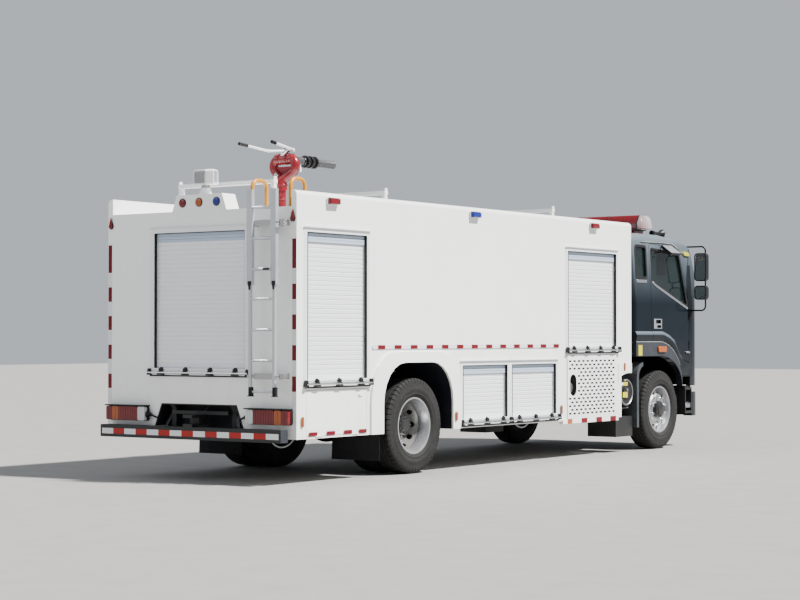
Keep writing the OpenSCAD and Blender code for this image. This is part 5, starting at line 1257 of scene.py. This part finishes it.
# Lower body ahead of the pump panel, the filler end behind the cab, and the steps
def lower_side():
    for side in SIDES:
        outline = [(6.384, 1.116), (6.384, 0.872)] + arc(6.660, 0.872, 0.274, 0.120, 180, 90, 12)
        corner = Shape(side).prism(outline + [(6.7275, 0.992), (6.7275, 1.116)], "y", 1.228, BODY_HW - 0.0004)
        corner.make("front_lower_panel_*", WHITE, 0.002)
        Shape(side).box(5.036, 6.3855, 1.206, BODY_HW, 0.412, 0.4698).make("front_sill_*", WHITE, 0.003)
        # Painted shade: a black box lines the pump recess, so that its slots and window read dark
        liner = Shape(side)
        x0, x1, y0, y1, z0, z1, t = 5.142, 6.323, 1.0905, 1.2445, 0.472, 1.218, 0.002
        for wall in ((x0, x1, y0, y0 + t, z0, z1), (x0, x0 + t, y0, y1, z0, z1), (x1 - t, x1, y0, y1, z0, z1),
                     (x0, x1, y0, y1, z0, z0 + t), (x0, x1, y0, y1, z1 - t, z1)):
            liner.box(*wall)
        liner.make("pump_liner_*", BLACK, smooth=False)
        c = (5.275, 0, 0.835)
        inlet = Shape(side).lathe(c, "y", [(0.0, 1.092), (0.062, 1.092), (0.062, 1.130), (0.054, 1.134),
                                           (0.054, 1.190), (0.064, 1.192), (0.064, 1.212), (0.050, 1.216),
                                           (0.0, 1.216)], 40)
        inlet.studs(c, "y", 0.066, 3, 60, (1.194, 1.210, 0.010, 10))
        inlet.make("pump_inlet_*", STEEL)
        fx, fz = 6.760, 0.745
        ring = Shape(side).lathe((fx, 0, fz), "y",
                                 [(0.146, 1.158), (0.146, 1.166), (0.152, 1.172), (0.160, 1.172),
                                  (0.166, 1.166), (0.166, 1.140), (0.1605, 1.140),
                                  (0.1605, 1.158)], 64)
        ring.rod((fx, 1.171, fz + 0.030), (fx, 1.180, fz + 0.030), 0.022, n=24)
        ring.make("filler_ring_*", STEEL)
        cap = Shape(side).box(fx - 0.095, fx + 0.035, 1.1595, 1.1625, fz + 0.086, fz + 0.130)
        cap.box(fx - 0.110, fx + 0.012, 1.1712, 1.1738, fz - 0.062, fz + 0.006)
        cap.make("filler_plates_*", LENS_YELLOW, smooth=False)
        pipe = Shape(side).tube([(6.705, 1.100, 0.600), (6.705, 1.100, 0.520), (6.715, 1.096, 0.470)], 0.015)
        pipe.tube([(6.715, 1.096, 0.548), (6.940, 1.096, 0.548)], 0.011).make("drain_pipe_*", STEEL)
        Shape(side).box(8.236, 8.410, 1.010, 1.222, 0.7805, 0.7985).make("step_skirt_*", RUBBER, 0.002)
        tread = Shape(side)
        for z, y0 in ((0.5755, 1.052), (0.4355, 1.092)):
            for i in range(9):
                x = 8.262 + i * 0.0105
                tread.box(x, x + 0.005, y0, 1.228, z, z + 0.0035)
        tread.box(8.234, 8.352, 1.2348, 1.2405, 0.512, 0.562)
        tread.make("step_treads_*", ALU, 0.0008, 1)


def arch_liner():
    """Black liner inside each rear wheel arch, a hand's width in from the white lip."""
    cx, half, flat, low, top = REAR_X - 0.050, 0.640, 0.255, 0.750, 1.175

    def section(t):
        rx, rz = half - flat - t, top - low - t
        return ([(cx + half - t, 0.4505), (cx + half - t, low)] + arc(cx + flat, low, rx, rz, 8, 90, 10)
                + arc(cx - flat, low, rx, rz, 90, 172, 10) + [(cx - half + t, low), (cx - half + t, 0.4505)])
    for side in SIDES:
        outer, inner = section(0.0006), section(0.0040)
        strips = [[(x, y, z) for (x, z), y in ((a, 0.592), (b, 0.592), (b, BODY_HW - 0.008),
                                               (a, BODY_HW - 0.008))]
                  for a, b in zip(outer, inner)]
        Shape(side).loft(strips).make("arch_liner_*", LINER, slot="black_rubber", angle=40.0)


def mudflaps():
    """Rubber flaps that hang behind the rear wheels."""
    for side in SIDES:
        flap = Shape(side).loft([[(x + d, y, z)
                                  for y, d in ((0.610, 0.0), (1.222, 0.0), (1.222, 0.005), (0.610, 0.005))]
                                 for x, z in ((1.396, 0.170), (1.402, 0.330), (1.4035, 0.480),
                                              (1.4035, 0.620))])
        flap.box(1.398, 1.4035, 0.640, 1.180, 0.560, 0.590)
        flap.make("mudflap_*", RUBBER)


def deck_plates():
    """Chequered walkway on the body's roof."""
    plates = Shape()
    for x0, x1 in ((1.70, 2.23), (2.37, 3.50), (3.52, 4.65), (4.67, 5.76)):
        plates.box(x0, x1, -0.700, 0.700, 2.7104, 2.7135)
    plates.make("deck_plates", PLATE, 0.001, 1)


lower_side()
drums()
arch_liner()


# Cab front. A point on its skin is (y, z), and depths count forward
FRONT_SKIN = ((0.0, 0.0), (1.150, 0.0), (1.500, -0.020), (1.810, -0.075), (2.550, -0.310))


def front_x(z):
    for (za, xa), (zb, xb) in zip(FRONT_SKIN, FRONT_SKIN[1:]):
        if z <= zb:
            return CAB_X1 + xa + (xb - xa) * (z - za) / (zb - za)
    return CAB_X1 - 0.310


def on_front(y, z, d):
    return (front_x(z) + d, y, z)


def cab_front():
    how = {"body": "cab"}
    screen = [(1.080, 1.830), (1.030, 2.500), (-1.030, 2.500), (-1.080, 1.830)]
    seal = Shape().edging(on_front, rounded(grown(screen, 0.014), 0.070),
                          rounded(grown(screen, -0.020), 0.045), (-0.023, 0.004, 0.004, -0.023))
    seal.make("windscreen_seal", RUBBER, **how)
    wiper = Shape()
    for y in (0.62, -0.12):
        foot, elbow = (y, 1.795), (y - 0.06, 1.835)
        wiper.rod(on_front(*foot, 0.002), on_front(*foot, 0.022), 0.016, 0.013, 20)
        wiper.rod(on_front(*foot, 0.018), on_front(*elbow, 0.022), 0.009, 0.007)
        wiper.rod(on_front(*elbow, 0.022), on_front(y - 0.40, 1.885, 0.014), 0.007, 0.004)
        blade = ((0.0045, -0.002), (0.0045, 0.002), (0.009, 0.003), (0.015, 0.007), (0.018, 0.0),
                 (0.015, -0.007), (0.009, -0.003))
        wiper.loft([[on_front(u, v + dz, d) for d, dz in blade]
                    for u, v in ((y - 0.02, 1.868), (y - 0.68, 1.893))])
    wiper.make("wipers", BLACK, **how)
    # Bright frame round the grille, a plain bar across it, and the mesh behind
    hw, z0, z1 = 0.775, 0.965, 1.435
    trim = Shape().edging(on_front, rounded(rect(hw + 0.016, z0 - 0.016, z1 + 0.016), 0.030),
                          rounded(rect(hw - 0.006, z0 + 0.006, z1 - 0.006), 0.014),
                          (0.004, 0.0085, 0.0085, 0.004))
    trim.make("grille_frame", ALU, 0.0015, **how)
    bar = Shape().loft([[(CAB_X1 + 0.0085 - 0.0032 * (y / 0.74) ** 2 - e, y, z) for e, z in
                         ((0.010, 1.300), (0.002, 1.304), (0.0, 1.322), (0.002, 1.340), (0.010, 1.344))]
                        for y in (-0.742, -0.40, 0.0, 0.40, 0.742)])
    bar.make("grille_bar", CHROME, **how)
    mesh = Shape()
    for i in range(38):
        y = -0.722 + i * 0.039
        mesh.box(CAB_X1 - 0.030, CAB_X1 - 0.026, y, y + 0.004, 1.000, 1.400)
    for i in range(11):
        z = 1.000 + i * 0.0396
        mesh.box(CAB_X1 - 0.032, CAB_X1 - 0.030, -0.724, 0.724, z, z + 0.004)
    mesh.make("grille_mesh", BLACK, smooth=False, **how)
    # Seams of the hinged front panel
    seams = Shape()
    rise = [(0.905, z) for z in (0.812, 1.150, 1.500, 1.570)]
    path = rise + [(-y, z) for y, z in reversed(rise)]
    for p, q in zip(path, path[1:]):
        dy, dz = (0.0, 0.0022) if p[0] != q[0] else (0.0022, 0.0)
        seams.loft([[on_front(y + s * dy, z + s * dz, d)
                     for d, s in ((-0.002, -1), (0.0012, -1), (0.0012, 1), (-0.002, 1))]
                    for y, z in (p, q)])
    seams.make("front_panel_seams", BLACK, smooth=False, **how)
    grips = Shape()
    for y in (-0.985, 0.985):
        grips.tube([(front_x(a) + d, y, z) for a, d, z in ((1.640, 0.001, 1.640), (1.640, 0.038, 1.645),
                                                           (1.70, 0.044, 1.70), (1.745, 0.036, 1.742),
                                                           (1.750, 0.001, 1.750))], 0.009)
    grips.make("front_grips", BLACK, **how)
    markers = Shape()
    for y in (-0.86, 0.86):
        markers.prism(round_rect(y - 0.045, y + 0.045, 2.590, 2.615, 0.010), "x", CAB_X1 - 0.400,
                      CAB_X1 - 0.322)
    markers.make("front_marker_lamps", LENS_WHITE, 0.004, **how)


cab_front()


# Lamps, plate and intake in the front bumper
def bumper_fittings():
    face = CAB_X1 + 0.010
    x0, x1 = CAB_X1 - 0.0605, face - 0.004
    y0, y1, z0, z1, t = 0.7035, 1.0065, 0.5335, 0.6665, 0.006
    for side in SIDES:
        case = Shape(side)
        for wall in ((x0, x0 + t, y0, y1, z0, z1), (x0, x1, y0, y0 + t, z0, z1), (x0, x1, y1 - t, y1, z0, z1),
                     (x0, x1, y0, y1, z0, z0 + t), (x0, x1, y0, y1, z1 - t, z1),
                     (x0, x1 - 0.014, 0.930, 0.936, z0, z1)):
            case.box(*wall)
        case.make("head_lamp_case_*", BLACK, 0.0012, 1, node="head_lamps")
        bowl, bulb = Shape(side), Shape(side)
        for y in (0.765, 0.875):
            bowl.lathe((0, y, 0.600), "x", [(0.051, x1 - 0.012), (0.053, x1 - 0.006), (0.056, x1 - 0.006),
                                            (0.055, x1 - 0.020), (0.030, x0 + 0.012), (0.0, x0 + 0.008),
                                            (0.0, x0 + 0.014), (0.026, x0 + 0.018)], 40)
            bulb.lathe((x0, y, 0.600), "x", [(0.0, 0.010), (0.018, 0.010), (0.018, 0.026), (0.012, 0.034),
                                             (0.0, 0.037)], 24)
        bowl.make("head_lamp_bowls_*", CHROME, node="head_lamps")
        bulb.make("head_lamp_bulbs_*", LENS_WHITE, node="head_lamps")
        turn = Shape(side).prism(round_rect(0.941, 0.998, 0.543, 0.657, 0.008), "x", x0 + 0.010, x1 - 0.010)
        turn.make("turn_lamp_*", LENS_AMBER, 0.004, node="head_lamps")
        cover = Shape(side).prism(round_rect(y0 + 0.001, y1 - 0.001, z0 + 0.001, z1 - 0.001, 0.006), "x",
                                  x1 + 0.0002, x1 + 0.0032)
        cover.make("head_lamp_cover_*", LAMP_GLASS, 0.001, node="head_lamps")
        fog = Shape(side).lathe((face, 0.800, 0.468), "x", [(0.0, -0.004), (0.040, -0.004), (0.040, 0.004),
                                                            (0.034, 0.006), (0.032, 0.002), (0.0, 0.003)], 40)
        fog.make("fog_lamp_*", CLEAR)
    intake = Shape()
    for z in (0.437, 0.458, 0.479, 0.500):
        intake.box(face - 0.002, face + 0.0045, -0.560, 0.560, z, z + 0.009)
    intake.box(face - 0.002, face + 0.0012, -0.580, 0.580, 0.428, 0.518)
    intake.make("bumper_intake", BLACK, 0.001, 1)
    plate = Shape().prism(round_rect(-0.220, 0.220, 0.545, 0.685, 0.010), "x", face + 0.003, face + 0.0045)
    plate.make("front_blank_plate", TAPE_WHITE, 0.0006)
    rim = Shape().edging(lambda y, z, d: (face + d, y, z), round_rect(-0.228, 0.228, 0.537, 0.693, 0.014),
                         round_rect(-0.212, 0.212, 0.553, 0.677, 0.006), (0.0, 0.0065, 0.0065, 0.0))
    rim.make("front_plate_frame", BLACK)
    tread = Shape().box(CAB_X1 - 0.20, face - 0.012, -0.62, 0.62, 0.7152, 0.7190)
    tread.make("bumper_tread", PLATE, 0.001, 1)


bumper_fittings()


# Seats: padded cushions with sewn channels on a sprung plastic base
def pad(name, centre, half, lean, channels):
    """A crowned cushion, flat at the back, with sewn channels across its face."""
    nu, nv = 28, 24
    c, s = math.cos(math.radians(lean)), math.sin(math.radians(lean))

    def place(across, up, out):
        return (centre[0] + out * c - up * s, centre[1] + across, centre[2] + up * c + out * s)
    top, low = [], []
    for j in range(nv + 1):
        for i in range(nu + 1):
            u, v = 2 * i / nu - 1, 2 * j / nv - 1
            edge = (1 - abs(u) ** 5) * (1 - abs(v) ** 5)
            pull = 0.93 + 0.07 * (1 - min(1.0, 0.55 * (u * u + v * v)))
            dip = sum(math.exp(-((v - q) / 0.045) ** 2) for q in channels) * 0.010
            dip += sum(math.exp(-((u - q) / 0.035) ** 2) for q in (-0.66, 0.66)) * 0.008
            across, up = u * half[1] * pull, v * half[2] * pull
            out = half[0] * (0.25 + 0.75 * edge ** 0.45) + 0.009 * edge - dip * min(1.0, edge * 3)
            top.append(place(across, up, out))
            low.append(place(across, up, -half[0]))
    w, n = nu + 1, (nu + 1) * (nv + 1)
    faces = []
    for a in (j * w + i for j in range(nv) for i in range(nu)):
        faces += [(a, a + 1, a + 1 + w, a + w), (n + a, n + a + w, n + a + w + 1, n + a + 1)]
    rim = ([i for i in range(nu)] + [j * w + nu for j in range(nv)] + [nv * w + i for i in range(nu, 0, -1)]
           + [j * w for j in range(nv, 0, -1)])
    faces += [(a, n + a, n + b, b) for a, b in zip(rim, rim[1:] + rim[:1])]
    obj = Shape().add(top + low, faces).make(name, CLOTH, body="cab", node="seats", angle=70.0)
    soft = obj.modifiers.new("soft", "SUBSURF")
    soft.levels = 1
    soft.render_levels = 1


def seats():
    how = {"body": "cab", "node": "seats"}
    floor, x = 1.430, CAB_X0 + 0.430
    for y, word in ((-0.560, "right"), (0.560, "left")):
        base = Shape().box(x + 0.02, x + 0.44, y - 0.215, y + 0.215, floor + 0.0005, floor + 0.030)
        for i in range(5):
            z = floor + 0.030 + i * 0.026
            base.loft([[(x + 0.230 + sx * (0.185 + g), y + sy * (0.19 + g), z + h)
                        for sx, sy in ((-1, -1), (1, -1), (1, 1), (-1, 1))]
                       for h, g in ((0.0, 0.0), (0.013, 0.014), (0.026, 0.0))])
        base.box(x + 0.01, x + 0.46, y - 0.235, y + 0.235, floor + 0.160, floor + 0.195)
        base.make("seat_base_" + word, BLACK, 0.003, **how)
        pad("seat_cushion_" + word, (x + 0.245, y, floor + 0.250), (0.050, 0.240, 0.225), 90,
            (-0.45, 0.0, 0.45))
        pad("seat_back_" + word, (x - 0.010, y, floor + 0.580), (0.048, 0.232, 0.295), 11, (-0.5, -0.1, 0.3))
        pad("seat_head_" + word, (x - 0.088, y, floor + 0.978), (0.036, 0.132, 0.085), 8, ())
        posts = Shape()
        for s in SIDES:
            posts.rod((x - 0.070, y + s * 0.06, floor + 0.84), (x - 0.090, y + s * 0.06, floor + 0.93), 0.008)
        posts.make("seat_posts_" + word, CHROME, **how)


seats()
deck_plates()


# Perforated sheets over the pump bays: thin sheet with rows of slots and an oblong window
def slotted_sheet(side, outlines, y, thick):
    """A flat sheet: the first outline is its edge and the others are holes."""
    curve = bpy.data.curves.new("sheet", "CURVE")
    curve.dimensions = "2D"
    curve.fill_mode = "BOTH"
    curve.extrude = thick / 2
    for outline in outlines:
        spline = curve.splines.new("POLY")
        spline.points.add(len(outline) - 1)
        for point, (x, z) in zip(spline.points, outline):
            point.co = (x, z, 0, 1)
        spline.use_cyclic_u = True
    flat = bpy.data.objects.new("sheet", curve)
    bpy.context.scene.collection.objects.link(flat)
    made = bpy.data.meshes.new_from_object(flat.evaluated_get(bpy.context.evaluated_depsgraph_get()))
    shape = Shape(side).add([(v.co.x, y + v.co.z, v.co.y) for v in made.vertices],
                            [tuple(p.vertices) for p in made.polygons])
    bpy.data.objects.remove(flat)
    bpy.data.meshes.remove(made)
    mend(shape.make("pump_sheet_*", PUMP, smooth=False, node="pump_panels").data, 0.00002)


def pump_sheets():
    low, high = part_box("pump_panels")
    x0, x1, z0, z1 = low[0] - REAR, high[0] - REAR, low[2], high[2]
    cx, cz, width, height = x0 + 0.135, z0 + 0.398, 0.156, 0.257
    outlines = [[(x0, z0), (x1, z0), (x1, z1), (x0, z1)]]
    for row in range(15):
        for col in range(11):
            x, z = x0 + 0.062 + 0.105 * col + 0.0525 * (row % 2), z0 + 0.060 + 0.0445 * row
            near = abs(x - cx) < width / 2 + 0.040 and abs(z - cz) < height / 2 + 0.025
            if x < x1 - 0.040 and not near:
                outlines.append([(x + a * 0.029, z + b * 0.0115)
                                 for a, b in ((-1, -1), (1, -1), (1, 1), (-1, 1))])
    r, up = width / 2, (height - width) / 2
    outlines.append(arc(cx, cz + up, r, r, 0, 180, 14) + arc(cx, cz - up, r, r, 180, 360, 14))
    for side in SIDES:
        slotted_sheet(side, outlines, BODY_HW - 0.0006, 0.0012)


pump_sheets()
mudflaps()


# Floor and lights
def floor():
    n = Nodes("floor")
    n.set(Base_Color=n.ramp(n.noise(3.0, 5.0), (0.235, 0.228, 0.216), (0.265, 0.257, 0.245)), Roughness=0.75)
    mesh = bpy.data.meshes.new("floor")
    mesh.from_pydata([(-60, -60, 0), (60, -60, 0), (60, 60, 0), (-60, 60, 0)], [], [(0, 1, 2, 3)])
    mesh.materials.append(n.mat)
    obj = bpy.data.objects.new("floor", mesh)
    obj.location = (0, 0, -0.002)
    bpy.context.scene.collection.objects.link(obj)


def light(name, kind, energy, size, location, aim, colour):
    data = bpy.data.lights.new(name, kind)
    data.energy = energy
    data.color = colour
    if kind == "AREA":
        data.size = size
    else:
        data.angle = size
    aimed(name, data, location, Vector(aim) - Vector(location))


def lights():
    world = bpy.data.worlds.new("world")
    world.use_nodes = True
    back = world.node_tree.nodes["Background"]
    back.inputs["Color"].default_value = (0.86, 0.92, 1.0, 1.0)
    back.inputs["Strength"].default_value = 0.62
    bpy.context.scene.world = world
    light("sun", "SUN", 14.0, 0.05, (3.0, -9.5, 13.5), (0.0, 0.0, 0.0), (1.0, 0.985, 0.96))
    light("sky_panel", "AREA", 360.0, 8.0, (-12.0, 6.0, 9.0), (-2.0, 0.0, 1.5), (0.92, 0.96, 1.0))


floor()
lights()
